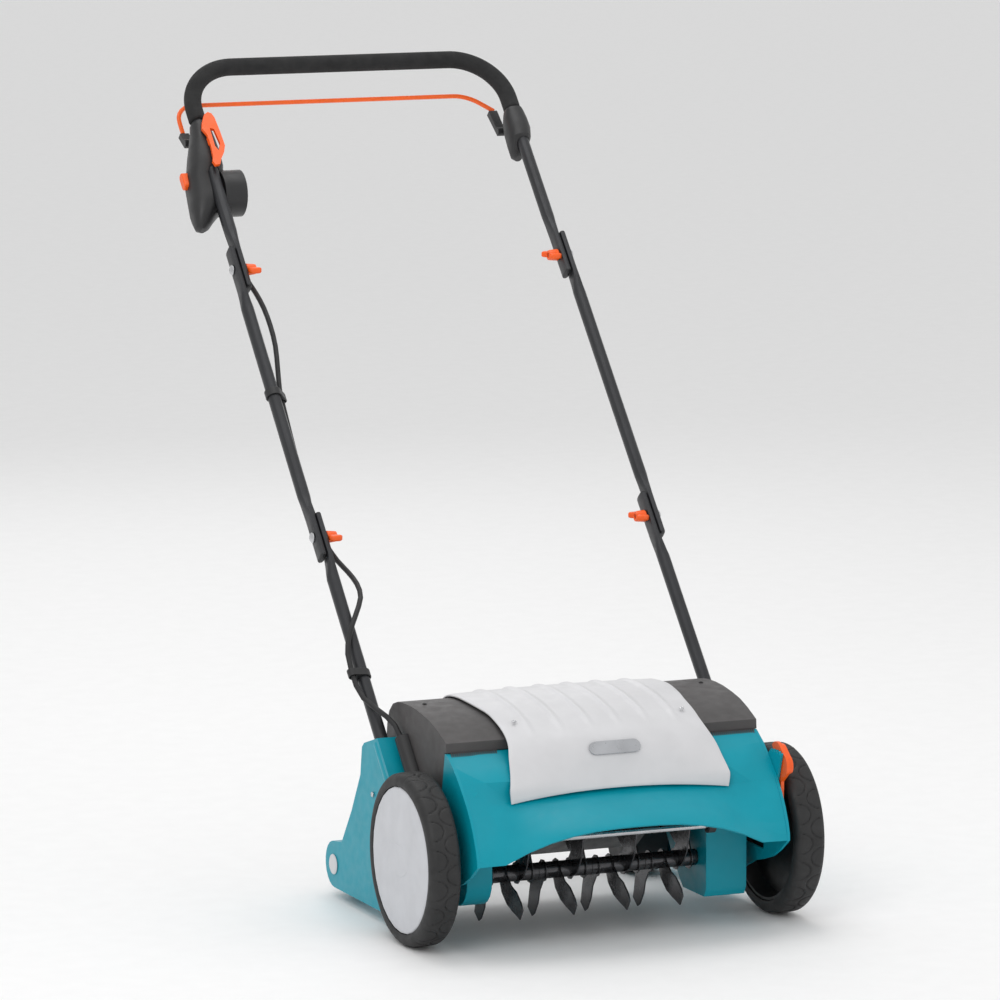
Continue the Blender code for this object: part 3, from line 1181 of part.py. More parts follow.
def cable_clip(name, tube_x, lead_x, lead_behind, along, axis):
    """Strap around a tube and the lead beside it."""
    wall, width = 0.0020, 0.0110
    reach = Vector((lead_x - tube_x, lead_behind))
    heading = degrees(atan2(reach.y, reach.x))
    big, small = TUBE_R + GAP + wall, CABLE_R + 2 * GAP + wall
    lean = degrees(acos((big - small) / reach.length))
    outline = (arc(tube_x, 0.0, big, heading + lean, heading + 360 - lean, 14)
               + arc(lead_x, lead_behind, small, heading - lean, heading + lean, 8))
    holes = (circle(tube_x, 0.0, TUBE_R + GAP, 18), circle(lead_x, lead_behind, CABLE_R + 3 * GAP, 12))
    solid(name, extrusion(outline, along - width / 2, along + width / 2, place=across, holes=holes),
          BLACK, axis)


cable_clip("cable_clip_middle", -MIDDLE_TUBE_X, -0.2365, 0.0123, CLIP_MIDDLE, "lower_fold_axis")
cable_clip("cable_clip_lower", -SOCKET_TUBE_X, -0.2620, -0.0070, CLIP_LOWER, "machine")
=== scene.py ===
import json
from math import cos, pi, radians, sin

import bmesh
import bpy
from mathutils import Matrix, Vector


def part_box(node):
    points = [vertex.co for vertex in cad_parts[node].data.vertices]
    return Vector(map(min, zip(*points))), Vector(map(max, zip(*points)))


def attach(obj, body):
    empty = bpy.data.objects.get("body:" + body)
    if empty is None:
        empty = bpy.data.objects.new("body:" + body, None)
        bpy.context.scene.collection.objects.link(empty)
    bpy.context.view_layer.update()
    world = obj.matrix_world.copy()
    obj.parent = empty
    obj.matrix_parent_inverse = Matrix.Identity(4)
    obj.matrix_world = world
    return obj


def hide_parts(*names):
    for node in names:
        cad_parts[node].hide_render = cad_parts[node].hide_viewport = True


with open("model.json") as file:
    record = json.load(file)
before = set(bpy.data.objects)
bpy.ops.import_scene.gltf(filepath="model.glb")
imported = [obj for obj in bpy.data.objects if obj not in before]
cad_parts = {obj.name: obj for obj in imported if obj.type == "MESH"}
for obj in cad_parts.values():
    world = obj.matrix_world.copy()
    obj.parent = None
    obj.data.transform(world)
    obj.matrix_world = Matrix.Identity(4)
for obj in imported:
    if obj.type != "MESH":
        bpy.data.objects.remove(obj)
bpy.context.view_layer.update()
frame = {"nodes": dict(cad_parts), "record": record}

# ---------------------------------------------------------------- measures, in metres
HANDLE_ANGLE = radians(47.33)
TYRE_SEGMENTS, TYRE_LUGS = 432, 18
GROOVE_DEPTH, GROOVE_HALF = 0.0016, 0.0011
RIB_PITCH, RIB_FIRST, RIB_HEIGHT, RIB_HALF = 0.0426, 0.0203, 0.0024, 0.0075
RIB_FRONT, RIB_FADE = -0.0410, 0.0600
VENT_PITCH, VENT_TOOTH = 0.0030, 0.0014
VENT_FROM, VENT_TO = 0.1535, 0.2215
VENT_SECTION = ((-0.0180, 0.1428), (-0.0206, 0.1418), (-0.0236, 0.1368), (-0.0206, 0.1382))

UPPER_BOLT, LAP_BEYOND = 0.4537, 0.0330       # along the handle, and a tube's end beyond its bolt
INNER_X, MIDDLE_X = 0.2430, 0.2524            # planes of the inner and the middle tubes
PLUG_HALF_X, PLUG_HALF_HIGH = 0.0042, 0.0114
GRIP_REACH, GRIP_FROM, BEND_R, GRIP_R = 0.8120, 0.7150, 0.0750, 0.0125
GRIP_SIDES, BEND_STEPS = 36, 24
NUT_R, NUT_BORE_R, NUT_LENGTH, NUT_SIDES, WING_SET_BACK = 0.0085, 0.0040, 0.0150, 32, 0.0030
INLET_ALONG, INLET_BEHIND, INLET_DEPTH, PIN_SPREAD = 0.6050, 0.0245, 0.0200, 0.0085
PANEL_SCREW, COVER_SCREW = (0.1213, -0.0018, 0.1736), (0.2020, 0.1124, 0.1831)
BRACKET_SCREW_Y, BRACKET_SCREW_Z = 0.1600, 0.0560
USUAL_SHARP, USUAL_EDGE, THIN_EDGE = 39.0, 0.0007, 0.0003
MOTTLE_SCALE, GLOSS_SCALE, GRAIN_DEPTH = 28.0, 70.0, 0.0006

# ---------------------------------------------------------------- places, from the frame


def middle(node):
    low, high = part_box(node)
    return (low + high) / 2


AXLE = middle("wheel_rim_left")
FRONT_Y = AXLE.y
WHEEL_Z = AXLE.z
BOLT = middle("bolt_lower_left")
CAP_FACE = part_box("wheel_cap_right")[1].x


def body_point(x, y, dz):
    """A place measured from the front wheel axle."""
    return Vector((x, FRONT_Y + y, WHEEL_Z + dz))


def handle_point(x, along, behind=0.0):
    """A place on the handle: along it from the lower bolt, and behind its plane."""
    return Vector((x, BOLT.y + along * cos(HANDLE_ANGLE) + behind * sin(HANDLE_ANGLE),
                   BOLT.z + along * sin(HANDLE_ANGLE) - behind * cos(HANDLE_ANGLE)))


# ---------------------------------------------------------------- materials
def finish(name, colour, rough, metal=0.0, grain=900.0, bump=0.12, spread=0.12,
           rough_spread=0.08, dust=0.0, shine=0.5):
    """A procedural finish: mottled colour, uneven gloss and surface grain."""
    made = bpy.data.materials.new(name)
    made.use_nodes = True
    nodes, links = made.node_tree.nodes, made.node_tree.links
    shader = nodes["Principled BSDF"]
    shader.inputs["Metallic"].default_value = metal
    shader.inputs["Specular IOR Level"].default_value = shine
    place = nodes.new("ShaderNodeTexCoord")

    def noise(scale, detail):
        node = nodes.new("ShaderNodeTexNoise")
        node.inputs["Scale"].default_value = scale
        node.inputs["Detail"].default_value = detail
        links.new(place.outputs["Object"], node.inputs["Vector"])
        return node

    def spread_over(source, low, high):
        node = nodes.new("ShaderNodeMapRange")
        node.inputs["From Min"].default_value = 0.3
        node.inputs["From Max"].default_value = 0.7
        node.inputs["To Min"].default_value = low
        node.inputs["To Max"].default_value = high
        links.new(source.outputs["Fac"], node.inputs["Value"])
        return node

    tone = nodes.new("ShaderNodeMix")
    tone.data_type = "RGBA"
    tone.inputs["A"].default_value = (*(c * (1 - spread) for c in colour), 1.0)
    tone.inputs["B"].default_value = (*(min(1.0, c * (1 + spread) + dust) for c in colour), 1.0)
    links.new(spread_over(noise(MOTTLE_SCALE, 4.0), 0.0, 1.0).outputs["Result"], tone.inputs["Factor"])
    links.new(tone.outputs["Result"], shader.inputs["Base Color"])
    gloss = spread_over(noise(GLOSS_SCALE, 3.0), rough - rough_spread, rough + rough_spread)
    links.new(gloss.outputs["Result"], shader.inputs["Roughness"])
    relief = nodes.new("ShaderNodeBump")
    relief.inputs["Strength"].default_value = bump
    relief.inputs["Distance"].default_value = GRAIN_DEPTH
    links.new(noise(grain, 2.0).outputs["Fac"], relief.inputs["Height"])
    links.new(relief.outputs["Normal"], shader.inputs["Normal"])
    return made


LOOKS = {
    "teal": finish("teal_moulding", (0.0, 0.300, 0.390), 0.36, grain=1500, bump=0.05, spread=0.03,
                   shine=0.28),
    "light": finish("light_moulding", (0.64, 0.64, 0.655), 0.36, grain=1400, bump=0.08, spread=0.03),
    "cap": finish("wheel_cap_moulding", (0.56, 0.57, 0.60), 0.42, grain=1100, bump=0.10, spread=0.04),
    "dark": finish("cover_grain", (0.060, 0.056, 0.056), 0.50, grain=2400, bump=0.45, spread=0.10),
    "black": finish("black_moulding", (0.017, 0.017, 0.018), 0.42, grain=1800, bump=0.20),
    "tyre": finish("tyre_rubber", (0.014, 0.014, 0.0145), 0.62, grain=1300, bump=0.30, dust=0.004),
    "rubber": finish("soft_rubber", (0.014, 0.014, 0.015), 0.60, grain=1600, bump=0.20),
    "foam": finish("grip_foam", (0.013, 0.013, 0.0135), 0.88, grain=3000, bump=0.75, dust=0.004),
    "orange": finish("orange_moulding", (0.93, 0.115, 0.008), 0.36, grain=1500, bump=0.07, spread=0.04),
    "rod": finish("orange_coating", (0.93, 0.125, 0.008), 0.32, grain=2200, bump=0.10, spread=0.05),
    "tube": finish("powder_coat", (0.026, 0.027, 0.030), 0.36, metal=0.25, grain=2600, bump=0.22),
    "steel": finish("zinc_steel", (0.58, 0.585, 0.60), 0.28, metal=1.0, grain=1200, bump=0.10),
    "blade": finish("blackened_blade", (0.085, 0.085, 0.09), 0.24, metal=0.85, grain=900, bump=0.10),
    "shaft": finish("dark_shaft", (0.42, 0.43, 0.45), 0.16, metal=1.0, grain=900, bump=0.05,
                    rough_spread=0.05),
    "badge": finish("badge_plate", (0.42, 0.43, 0.45), 0.30, metal=0.35, grain=1300, bump=0.06),
}
# Nodes that keep the CAD shape. Tyres, centre panel, grip and wing nuts are made anew below.
NODE_LOOKS = {
    "teal": ("hood", "bearing_box", "belt_box", "bracket_left", "bracket_right", "detent_rack"),
    "light": ("roller_cap_left", "roller_cap_right"),
    "cap": ("wheel_cap_left", "wheel_cap_right"),
    "badge": ("badge",),
    "dark": ("motor_cover", "motor"),
    "black": ("cable_guard", "deck", "wheel_rim_left", "wheel_rim_right", "rotor_pulley",
              "motor_pulley", "switch_housing", "pivot_housing", "bail_lug_left",
              "bail_lug_right", "cable_clip_lower", "cable_clip_middle"),
    "rubber": ("roller_left", "roller_right", "drive_belt", "cable_lower", "cable_middle",
               "cable_upper"),
    "orange": ("height_lever", "lockout_button", "cable_hook"),
    "rod": ("bail_rod",),
    "tube": ("upper_tube", "lower_tube_left", "lower_tube_right", "middle_tube_left",
             "middle_tube_right"),
    "steel": ("height_axle", "rear_axle", "motor_shaft", "bolt_lower_left", "bolt_lower_right",
              "bolt_upper_left", "bolt_upper_right"),
    "blade": ("blades_1", "blades_2", "blades_3", "blades_4"),
    "shaft": ("rotor_shaft",),
}
SHARP = {"hood": 24.0, "motor_cover": 26.0, "height_lever": 30.0, "bearing_box": 30.0}
SOFT_EDGE = {"hood": 0.0016, "motor_cover": 0.0022, "wheel_cap_left": 0.0016, "wheel_cap_right": 0.0016,
             "height_lever": 0.0012,
             "switch_housing": 0.0014, "pivot_housing": 0.0014, "lockout_button": 0.0014,
             "bracket_left": 0.0014, "bracket_right": 0.0014, "cable_hook": 0.0008,
             "roller_left": 0.0012, "roller_right": 0.0012}
THIN = ("badge", "drive_belt", "motor_shaft", "detent_rack", "blades_1", "blades_2", "blades_3",
        "blades_4", "bolt_lower_left", "bolt_lower_right", "bolt_upper_left", "bolt_upper_right")


BODY_OF = {n: body for body, held in frame["record"]["behaviour"]["bodies"].items() for n in held}


def dress(node, look):
    """The node's shape with rounded edges and smooth curves, standing in for the node."""
    source = frame["nodes"][node]
    bm = bmesh.new()
    bm.from_mesh(source.data)
    bm.transform(source.matrix_world)
    bmesh.ops.remove_doubles(bm, verts=bm.verts, dist=0.00002)
    bmesh.ops.dissolve_limit(bm, angle_limit=radians(0.6), verts=bm.verts, edges=bm.edges)
    mesh = bpy.data.meshes.new(f"{node}_shape")
    bm.to_mesh(mesh)
    bm.free()
    mesh.materials.clear()
    mesh.materials.append(LOOKS[look])
    mesh.shade_smooth()
    mesh.set_sharp_from_angle(angle=radians(SHARP.get(node, USUAL_SHARP)))
    made = bpy.data.objects.new(f"{node}_shape", mesh)
    bpy.context.scene.collection.objects.link(made)
    edge = made.modifiers.new("edge", "BEVEL")
    edge.width = THIN_EDGE if node in THIN else SOFT_EDGE.get(node, USUAL_EDGE)
    edge.segments = 2
    edge.limit_method = "ANGLE"
    edge.angle_limit = radians(SHARP.get(node, USUAL_SHARP) + 4.0)
    edge.use_clamp_overlap = True
    even = made.modifiers.new("even", "WEIGHTED_NORMAL")
    even.keep_sharp = False
    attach(made, BODY_OF[node])
    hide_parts(node)


for look, nodes in NODE_LOOKS.items():
    for node in nodes:
        dress(node, look)


def piece(name, bm, look, body, smooth=35.0, replaced=None):
    """A finished mesh that rides on a CAD body."""
    bmesh.ops.recalc_face_normals(bm, faces=bm.faces)
    mesh = bpy.data.meshes.new(name)
    bm.to_mesh(mesh)
    bm.free()
    mesh.materials.append(LOOKS[look])
    mesh.shade_smooth()
    mesh.set_sharp_from_angle(angle=radians(smooth))
    made = bpy.data.objects.new(name, mesh)
    bpy.context.scene.collection.objects.link(made)
    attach(made, body)
    if replaced:
        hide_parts(replaced)
    return made


def closed_rings(rings, caps=True):
    """A skin over rings of points, which closes on itself when caps is False."""
    bm = bmesh.new()
    loops = [[bm.verts.new(p) for p in ring] for ring in rings]
    n = len(loops[0])
    pairs = list(zip(loops, loops[1:])) + ([] if caps else [(loops[-1], loops[0])])
    for one, two in pairs:
        for i in range(n):
            bm.faces.new((one[i], one[(i + 1) % n], two[(i + 1) % n], two[i]))
    if caps:
        bm.faces.new(loops[0])
        bm.faces.new(loops[-1])
    return bm


# ---------------------------------------------------------------- tyres with moulded tread
def groove_at(around, across, width):
    """Depth of the tread's half-oval grooves; across runs from one shoulder to the other."""
    pitch = 2 * pi / TYRE_LUGS
    deepest = 0.0
    for shoulder, shift in ((-1, 0.0), (1, 0.5)):
        local = (around / pitch + shift) % 1.0 - 0.5
        along = local * pitch * WHEEL_Z
        inward = width / 2 + across if shoulder < 0 else width / 2 - across
        long, deep = pitch * WHEEL_Z * 0.36, width * 0.52
        if inward < 0:
            continue
        reach = ((along / long) ** 2 + (inward / deep) ** 2) ** 0.5
        miss = abs(reach - 1.0) * min(long, deep)
        deepest = max(deepest, max(0.0, 1.0 - (miss / GROOVE_HALF) ** 2))
    return deepest * GROOVE_DEPTH


def tyre(hand, sign):
    low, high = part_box(f"tyre_{hand}")
    outer = high.x if sign > 0 else low.x
    inner = low.x if sign > 0 else high.x
    width = abs(outer - inner)
    bead = (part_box(f"wheel_rim_{hand}")[1].z - WHEEL_Z) + 0.0004
    tread = WHEEL_Z
    profile = [(0.0012, bead), (0.0004, bead + 0.0035), (0.0002, tread - 0.0115),
               (0.0008, tread - 0.0078), (0.0022, tread - 0.0046), (0.0046, tread - 0.0022)]
    count = 26
    for k in range(count + 1):
        d = 0.0070 + (width - 0.0140) * k / count
        profile.append((d, tread - 0.0009 * abs(2 * k / count - 1) ** 3))
    profile += [(width - d, r) for d, r in reversed(profile[:6])]
    rings = []
    for i in range(TYRE_SEGMENTS):
        turn = 2 * pi * i / TYRE_SEGMENTS
        ring = []
        for d, r in profile:
            cut = groove_at(turn, d - width / 2, width - 0.006) if r > tread - 0.0085 else 0.0
            ring.append(Vector((outer - sign * d, FRONT_Y + (r - cut) * cos(turn),
                                WHEEL_Z + (r - cut) * sin(turn))))
        rings.append(ring)
    bm = closed_rings(rings, caps=False)
    piece(f"tread_{hand}", bm, "tyre", f"wheel_{hand}", 60.0, f"tyre_{hand}")


tyre("left", -1)
tyre("right", 1)


# ---------------------------------------------------------------- ribbed centre panel
# Rows from the rear end to the front edge: middle y, z, then edge x, y, z from the axle.
PANEL_ROWS = [
    ((0.1990, 0.1400), (0.1480, 0.1990, 0.1400)), ((0.1955, 0.1560), (0.1485, 0.1955, 0.1550)),
    ((0.1880, 0.1695), (0.1490, 0.1880, 0.1680)), ((0.1740, 0.1815), (0.1495, 0.1740, 0.1795)),
    ((0.1540, 0.1880), (0.1500, 0.1540, 0.1855)), ((0.1280, 0.1905), (0.1500, 0.1280, 0.1880)),
    ((0.1000, 0.1905), (0.1500, 0.1000, 0.1880)), ((0.0613, 0.1870), (0.1460, 0.0613, 0.1842)),
    ((0.0354, 0.1828), (0.1424, 0.0354, 0.1798)), ((0.0050, 0.1760), (0.1415, 0.0050, 0.1712)),
    ((-0.0180, 0.1680), (0.1415, -0.0173, 0.1615)), ((-0.0370, 0.1590), (0.1440, -0.0360, 0.1505)),
    ((-0.0500, 0.1470), (0.1490, -0.0510, 0.1362)), ((-0.0580, 0.1320), (0.1525, -0.0640, 0.1200)),
    ((-0.0640, 0.1150), (0.1560, -0.0740, 0.1060)), ((-0.0700, 0.0990), (0.1579, -0.0782, 0.0960)),
    ((-0.0734, 0.0899), (0.1562, -0.0776, 0.0791))]


def between(rows, t):
    """A row read from a smooth curve through the rows."""
    k = min(int(t), len(rows) - 2)
    f = t - k
    four = [rows[max(0, min(len(rows) - 1, k + j))] for j in (-1, 0, 1, 2)]
    return [0.5 * (2 * b + (c - a) * f + (2 * a - 5 * b + 4 * c - d) * f * f
                   + (3 * b - a - 3 * c + d) * f ** 3) for a, b, c, d in zip(*four)]


def smooth_step(t):
    t = max(0.0, min(1.0, t))
    return t * t * (3 - 2 * t)


def rib_height(x, y):
    nearest = min(abs(x - s * (RIB_FIRST + RIB_PITCH * k)) for k in range(3) for s in (-1, 1))
    across = smooth_step(1.0 - nearest / RIB_HALF)
    front = smooth_step((y - RIB_FRONT) / RIB_FADE)
    return RIB_HEIGHT * across * front * smooth_step((0.196 - y) / 0.02)


def centre_panel():
    rows = [(*m, *e) for m, e in PANEL_ROWS]
    across, down, thick = 132, 96, 0.0028
    grid = []
    for r in range(down + 1):
        my, mz, ex, ey, ez = between(rows, (len(rows) - 1) * r / down)
        grid.append([])
        for c in range(across + 1):
            u = 2 * c / across - 1
            grid[-1].append(Vector((ex * u, my + (ey - my) * u * u, mz + (ez - mz) * u * u)))
    bm = bmesh.new()
    outer, inner = [], []
    for r in range(down + 1):
        outer.append([])
        inner.append([])
        for c in range(across + 1):
            run_x = grid[r][min(c + 1, across)] - grid[r][max(c - 1, 0)]
            run_y = grid[min(r + 1, down)][c] - grid[max(r - 1, 0)][c]
            normal = run_x.cross(run_y).normalized()
            if normal.z < 0 or (abs(normal.z) < 0.2 and normal.y > 0 and grid[r][c].y < 0):
                normal = -normal
            at = grid[r][c]
            border = min(c, across - c, r + 6, down - r) / 2.0
            settle = 0.0012 * (1 - min(1.0, border))
            top = at + normal * (rib_height(at.x, at.y) - settle)
            outer[-1].append(bm.verts.new(body_point(*top)))
            inner[-1].append(bm.verts.new(body_point(*(at - normal * thick))))
    for r in range(down):
        for c in range(across):
            for layer in (outer, inner):
                bm.faces.new((layer[r][c], layer[r][c + 1], layer[r + 1][c + 1], layer[r + 1][c]))
    rim = [(0, c) for c in range(across)] + [(r, across) for r in range(down)]
    rim += [(down, c) for c in range(across, 0, -1)] + [(r, 0) for r in range(down, 0, -1)]
    for (r0, c0), (r1, c1) in zip(rim, rim[1:] + rim[:1]):
        bm.faces.new((outer[r0][c0], outer[r1][c1], inner[r1][c1], inner[r0][c0]))
    piece("ribbed_panel", bm, "light", "body", 55.0, "centre_panel")


centre_panel()


# ---------------------------------------------------------------- foam grip
def grip():
    """Foam sleeve that follows the bends of the upper tube, with rounded ends."""
    turn = GRIP_REACH - BEND_R
    path = [(-INNER_X, GRIP_FROM + (turn - GRIP_FROM) * k / 4) for k in range(4)]
    angles = [pi / 2 * k / BEND_STEPS for k in range(BEND_STEPS + 1)]
    bend = [(BEND_R * (1 - cos(a)), BEND_R * sin(a)) for a in angles]
    path += [(-INNER_X + x, turn + y) for x, y in bend]
    path += [(-x, along) for x, along in reversed(path)]
    rings = []
    last = len(path) - 1
    rounded_end = [(0.0, 0.80), (0.0010, 0.93), (0.0030, 1.0)]
    for k, (x, along) in enumerate(path):
        x0, along0 = path[max(0, k - 1)]
        x1, along1 = path[min(last, k + 1)]
        run = Vector((x1 - x0, along1 - along0)).normalized()
        side = Vector((run.y, -run.x))
        if k == 0:
            steps = rounded_end
        elif k == last:
            steps = [(-d, grow) for d, grow in reversed(rounded_end)]
        else:
            steps = [(0.0, 1.0)]
        for along_by, grow in steps:
            ring = []
            for i in range(GRIP_SIDES):
                a = 2 * pi * i / GRIP_SIDES
                reach = GRIP_R * grow
                ring.append(handle_point(x + run.x * along_by + side.x * reach * cos(a),
                                         along + run.y * along_by + side.y * reach * cos(a),
                                         reach * sin(a)))
            rings.append(ring)
    piece("foam_sleeve", closed_rings(rings), "foam", "handle_upper", 50.0, "grip")


grip()


# ---------------------------------------------------------------- wing nuts
WING_OUTLINE = ((0.0058, 0.0034), (0.0100, 0.0034), (0.0155, 0.0034), (0.0186, 0.0080), (0.0190, 0.0150),
                (0.0180, 0.0196), (0.0150, 0.0215), (0.0105, 0.0190), (0.0070, 0.0140), (0.0058, 0.0128))


def wing_nut(place, hand, sign):
    """Hub with two thick wings; its hub starts at the tube and its wings reach inwards."""
    node = f"wing_nut_{place}_{hand}"
    low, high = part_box(node)
    centre = (low + high) / 2
    face = high.x if sign > 0 else low.x
    bm = bmesh.new()
    hub = [(0.0, 0.80), (0.0004, 0.96), (0.0014, 1.0), (0.0120, 0.88), (0.0144, 0.82), (0.0150, 0.68)]
    turns = [2 * pi * i / NUT_SIDES for i in range(NUT_SIDES)]

    def ring(d, r):
        return [bm.verts.new((face - sign * d, centre.y + r * cos(a), centre.z + r * sin(a)))
                for a in turns]

    rings = [ring(d, NUT_R * grow) for d, grow in hub]
    inside = [ring(d, NUT_BORE_R) for d in (NUT_LENGTH, 0.0)]
    loops = rings + inside
    for one, two in zip(loops, loops[1:] + loops[:1]):
        for i in range(NUT_SIDES):
            after = (i + 1) % NUT_SIDES
            bm.faces.new((one[i], one[after], two[after], two[i]))
    middle_a = sum(a for a, d in WING_OUTLINE) / len(WING_OUTLINE)
    middle_d = sum(d for a, d in WING_OUTLINE) / len(WING_OUTLINE)
    for way in (-1, 1):
        layers = []
        for t, grow in ((-0.0042, 0.72), (-0.0036, 0.90), (-0.0022, 1.0), (0.0022, 1.0), (0.0036, 0.90),
                        (0.0042, 0.72)):
            layers.append([bm.verts.new((face - sign * (middle_d + (d - middle_d) * grow - WING_SET_BACK),
                                         centre.y + way * (middle_a + (a - middle_a) * grow),
                                         centre.z + t)) for a, d in WING_OUTLINE])
        n = len(WING_OUTLINE)
        for one, two in zip(layers, layers[1:]):
            for i in range(n):
                bm.faces.new((one[i], one[(i + 1) % n], two[(i + 1) % n], two[i]))
        bm.faces.new(layers[0])
        bm.faces.new(layers[-1])
    piece(f"{node}_shape", bm, "orange", f"nut_{place}_{hand}", 50.0, node)


for place in ("lower", "upper"):
    for hand, sign in (("left", -1), ("right", 1)):
        wing_nut(place, hand, sign)


# ---------------------------------------------------------------- vents, screws and plugs
def vents():
    """Comb of small teeth under the cover's front band, on each side of the panel."""
    bm = bmesh.new()
    count = int((VENT_TO - VENT_FROM) / VENT_PITCH)
    for sign in (-1, 1):
        for k in range(count):
            x = sign * (VENT_FROM + VENT_PITCH * (k + 0.5))
            rings = [[bm.verts.new(body_point(x + side * VENT_TOOTH / 2, y, z)) for y, z in VENT_SECTION]
                     for side in (-1, 1)]
            for i in range(4):
                bm.faces.new((rings[0][i], rings[0][(i + 1) % 4], rings[1][(i + 1) % 4], rings[1][i]))
            for ring in rings:
                bm.faces.new(ring)
    piece("vent_comb", bm, "dark", "body")


vents()


def screw(name, at, normal, radius, body, look="steel"):
    """Domed screw head with a cross recess, standing on a surface."""
    up = normal.normalized()
    side = up.orthogonal().normalized()
    other = up.cross(side)
    rings = []
    n = 32
    for k, (r, h) in enumerate([(1.0, 0.0), (1.0, 0.18), (0.90, 0.34), (0.70, 0.44), (0.48, 0.48),
                                (0.26, 0.49), (0.08, 0.49)]):
        ring = []
        for i in range(n):
            a = 2 * pi * i / n
            arm = min(abs(sin(a)), abs(cos(a))) * r
            sunk = 0.30 if (arm < 0.16 and r < 0.60) else 0.0
            ring.append(at + (side * cos(a) + other * sin(a)) * radius * r + up * radius * (h - sunk))
        rings.append(ring)
    piece(name, closed_rings(rings), look, body, 30.0)


for hand, sign in (("left", -1), ("right", 1)):
    screw(f"panel_screw_{hand}", body_point(sign * PANEL_SCREW[0], *PANEL_SCREW[1:]),
          Vector((0, -0.34, 0.94)),
          0.0032, "body")
    screw(f"cover_screw_{hand}", body_point(sign * COVER_SCREW[0], *COVER_SCREW[1:]),
          Vector((0, 0.03, 1.0)),
          0.0030, "body", "black")
    screw(f"bracket_screw_{hand}", Vector((sign * (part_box("bracket_right")[1].x + 0.0001),
                                           FRONT_Y + BRACKET_SCREW_Y, WHEEL_Z + BRACKET_SCREW_Z)),
          Vector((sign, 0, 0)), 0.0036, "body")


def tube_plug(name, x, along, outward, body):
    """Rounded plastic plug in the open, squashed end of a handle tube."""
    rings = []
    n = 28
    for grow, out in ((0.80, -0.0050), (0.80, 0.0001), (1.0, 0.0002), (1.0, 0.0010), (0.86, 0.0019),
                      (0.50, 0.0024)):
        ring = []
        for i in range(n):
            a = 2 * pi * i / n
            px = PLUG_HALF_X * grow * abs(cos(a)) ** 0.7 * (1 if cos(a) > 0 else -1)
            ph = PLUG_HALF_HIGH * grow * abs(sin(a)) ** 0.7 * (1 if sin(a) > 0 else -1)
            if out < 0.0001:
                px, ph = px * 0.62, ph * 0.86
            ring.append(handle_point(x + px, along + outward * out, ph))
        rings.append(ring)
    piece(name, closed_rings(rings), "black", body, 30.0)


for hand, sign in (("left", -1), ("right", 1)):
    tube_plug(f"plug_lower_{hand}", sign * INNER_X, LAP_BEYOND, 1, "body")
    tube_plug(f"plug_middle_foot_{hand}", sign * MIDDLE_X, -LAP_BEYOND, -1, "handle_middle")
    tube_plug(f"plug_middle_top_{hand}", sign * MIDDLE_X, UPPER_BOLT + LAP_BEYOND, 1, "handle_middle")
    tube_plug(f"plug_upper_{hand}", sign * INNER_X, UPPER_BOLT - LAP_BEYOND, -1, "handle_upper")


def inlet_pins():
    """Two flat blades of the mains inlet, inside the cup."""
    floor_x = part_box("switch_housing")[1].x - INLET_DEPTH
    for k, offset in enumerate((-PIN_SPREAD, PIN_SPREAD)):
        rings = []
        for grow, x in ((1.0, floor_x + 0.0002), (1.0, floor_x + 0.0150), (0.8, floor_x + 0.0166),
                        (0.4, floor_x + 0.0172)):
            ring = []
            for i in range(20):
                a = 2 * pi * i / 20
                ring.append(handle_point(x, INLET_ALONG + offset + 0.0016 * grow * cos(a),
                                         INLET_BEHIND + 0.0042 * grow * sin(a)))
            rings.append(ring)
        piece(f"inlet_pin_{k + 1}", closed_rings(rings), "steel", "handle_upper")


inlet_pins()


def embossed_arc(name, hand, sign, radius, start, end, y, z):
    """Faint raised line on the face of a wheel cap."""
    curve = bpy.data.curves.new(name, "CURVE")
    curve.dimensions = "3D"
    curve.bevel_depth = 0.0011
    curve.bevel_resolution = 2
    curve.use_fill_caps = True
    count = 28
    spline = curve.splines.new("POLY")
    spline.points.add(count)
    for i, point in enumerate(spline.points):
        a = radians(start + (end - start) * i / count)
        point.co = (sign * (CAP_FACE - 0.0006), FRONT_Y + y + radius * cos(a),
                    WHEEL_Z + z + radius * sin(a), 1.0)
        point.radius = 0.35 + 0.65 * sin(pi * i / count)
    curve.materials.append(LOOKS["cap"])
    made = bpy.data.objects.new(name, curve)
    bpy.context.scene.collection.objects.link(made)
    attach(made, f"wheel_{hand}")


for hand, sign in (("left", -1), ("right", 1)):
    embossed_arc(f"cap_line_a_{hand}", hand, sign, 0.0520, 60, 128, 0.012, -0.030)
    embossed_arc(f"cap_line_b_{hand}", hand, sign, 0.0480, 215, 282, 0.006, 0.026)


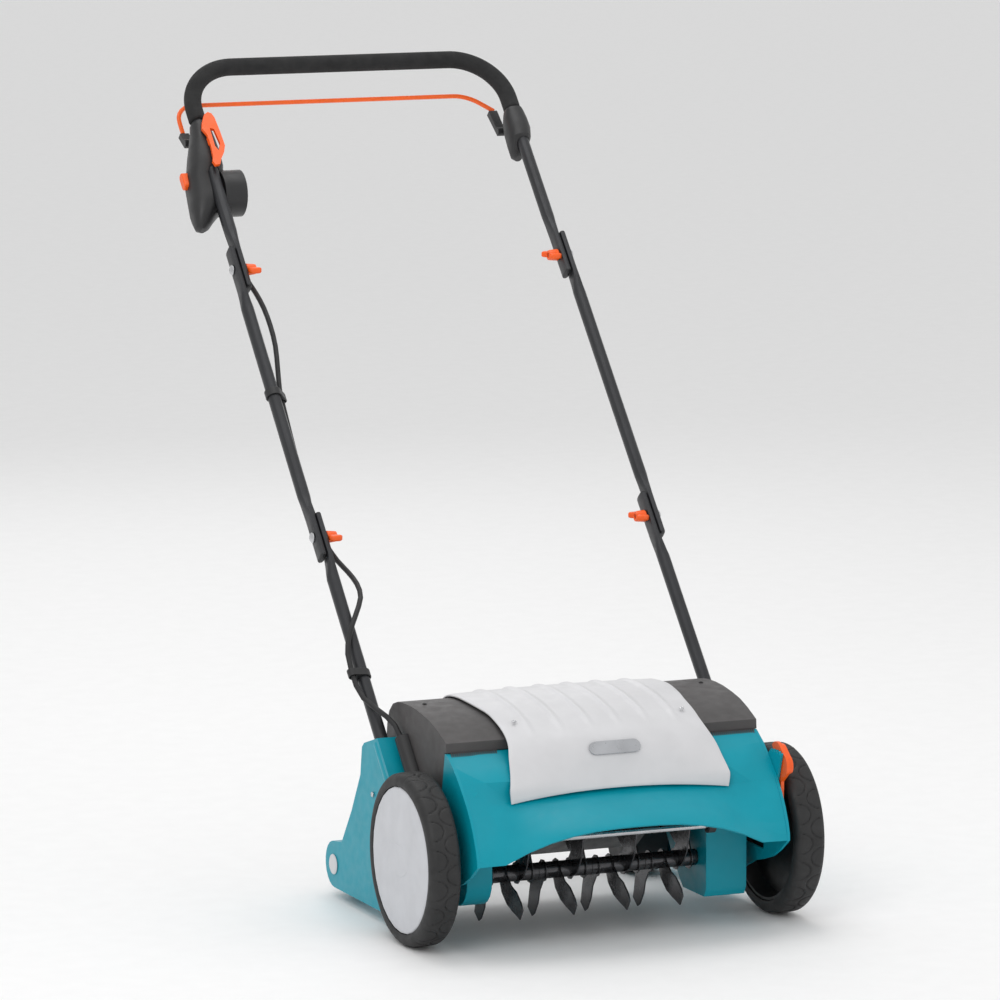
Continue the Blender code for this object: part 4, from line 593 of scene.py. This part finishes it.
# ---------------------------------------------------------------- floor, light and camera
# Name, place, size and power of each lamp.
LAMPS = (("key", (-2.4, -2.6, 3.0), 2.2, 34), ("fill", (2.8, -2.2, 2.0), 2.4, 8),
         ("top", (0.0, 0.4, 3.2), 2.0, 20), ("rear", (0.5, 3.0, 2.2), 2.2, 10))
CAMERA_YAW, CAMERA_PITCH, CAMERA_LENS = radians(22.83), radians(8.80), 216
CAMERA_X, CAMERA_BACK, CAMERA_Z = -3.151, 7.151, 1.786


def stage():
    bm = bmesh.new()
    bmesh.ops.create_grid(bm, x_segments=2, y_segments=2, size=60.0)
    mesh = bpy.data.meshes.new("floor")
    bm.to_mesh(mesh)
    bm.free()
    mesh.materials.append(finish("studio_floor", (0.93, 0.93, 0.93), 0.75, grain=60, bump=0.02,
                                 spread=0.01))
    floor = bpy.data.objects.new("floor", mesh)
    floor.location.z = -0.0005
    bpy.context.scene.collection.objects.link(floor)
    world = bpy.data.worlds.new("studio")
    world.use_nodes = True
    world.node_tree.nodes["Background"].inputs["Color"].default_value = (1.0, 1.0, 1.0, 1.0)
    world.node_tree.nodes["Background"].inputs["Strength"].default_value = 0.74
    bpy.context.scene.world = world
    for name, at, size, power in LAMPS:
        lamp = bpy.data.lights.new(name, "AREA")
        lamp.size = size
        lamp.energy = power
        held = bpy.data.objects.new(name, lamp)
        held.location = at
        held.rotation_euler = (Vector((0, -0.1, 0.35)) - Vector(at)).to_track_quat("-Z", "Y").to_euler()
        bpy.context.scene.collection.objects.link(held)
    bpy.context.scene.view_settings.view_transform = "Standard"


def camera():
    level = cos(CAMERA_PITCH)
    ahead = Vector((sin(CAMERA_YAW) * level, cos(CAMERA_YAW) * level, -sin(CAMERA_PITCH)))
    data = bpy.data.cameras.new("camera")
    data.lens = CAMERA_LENS
    data.sensor_width = 36
    data.clip_end = 200
    held = bpy.data.objects.new("camera", data)
    held.location = (CAMERA_X, FRONT_Y - CAMERA_BACK, CAMERA_Z)
    held.rotation_euler = ahead.to_track_quat("-Z", "Y").to_euler()
    bpy.context.scene.collection.objects.link(held)
    bpy.context.scene.camera = held


stage()
camera()
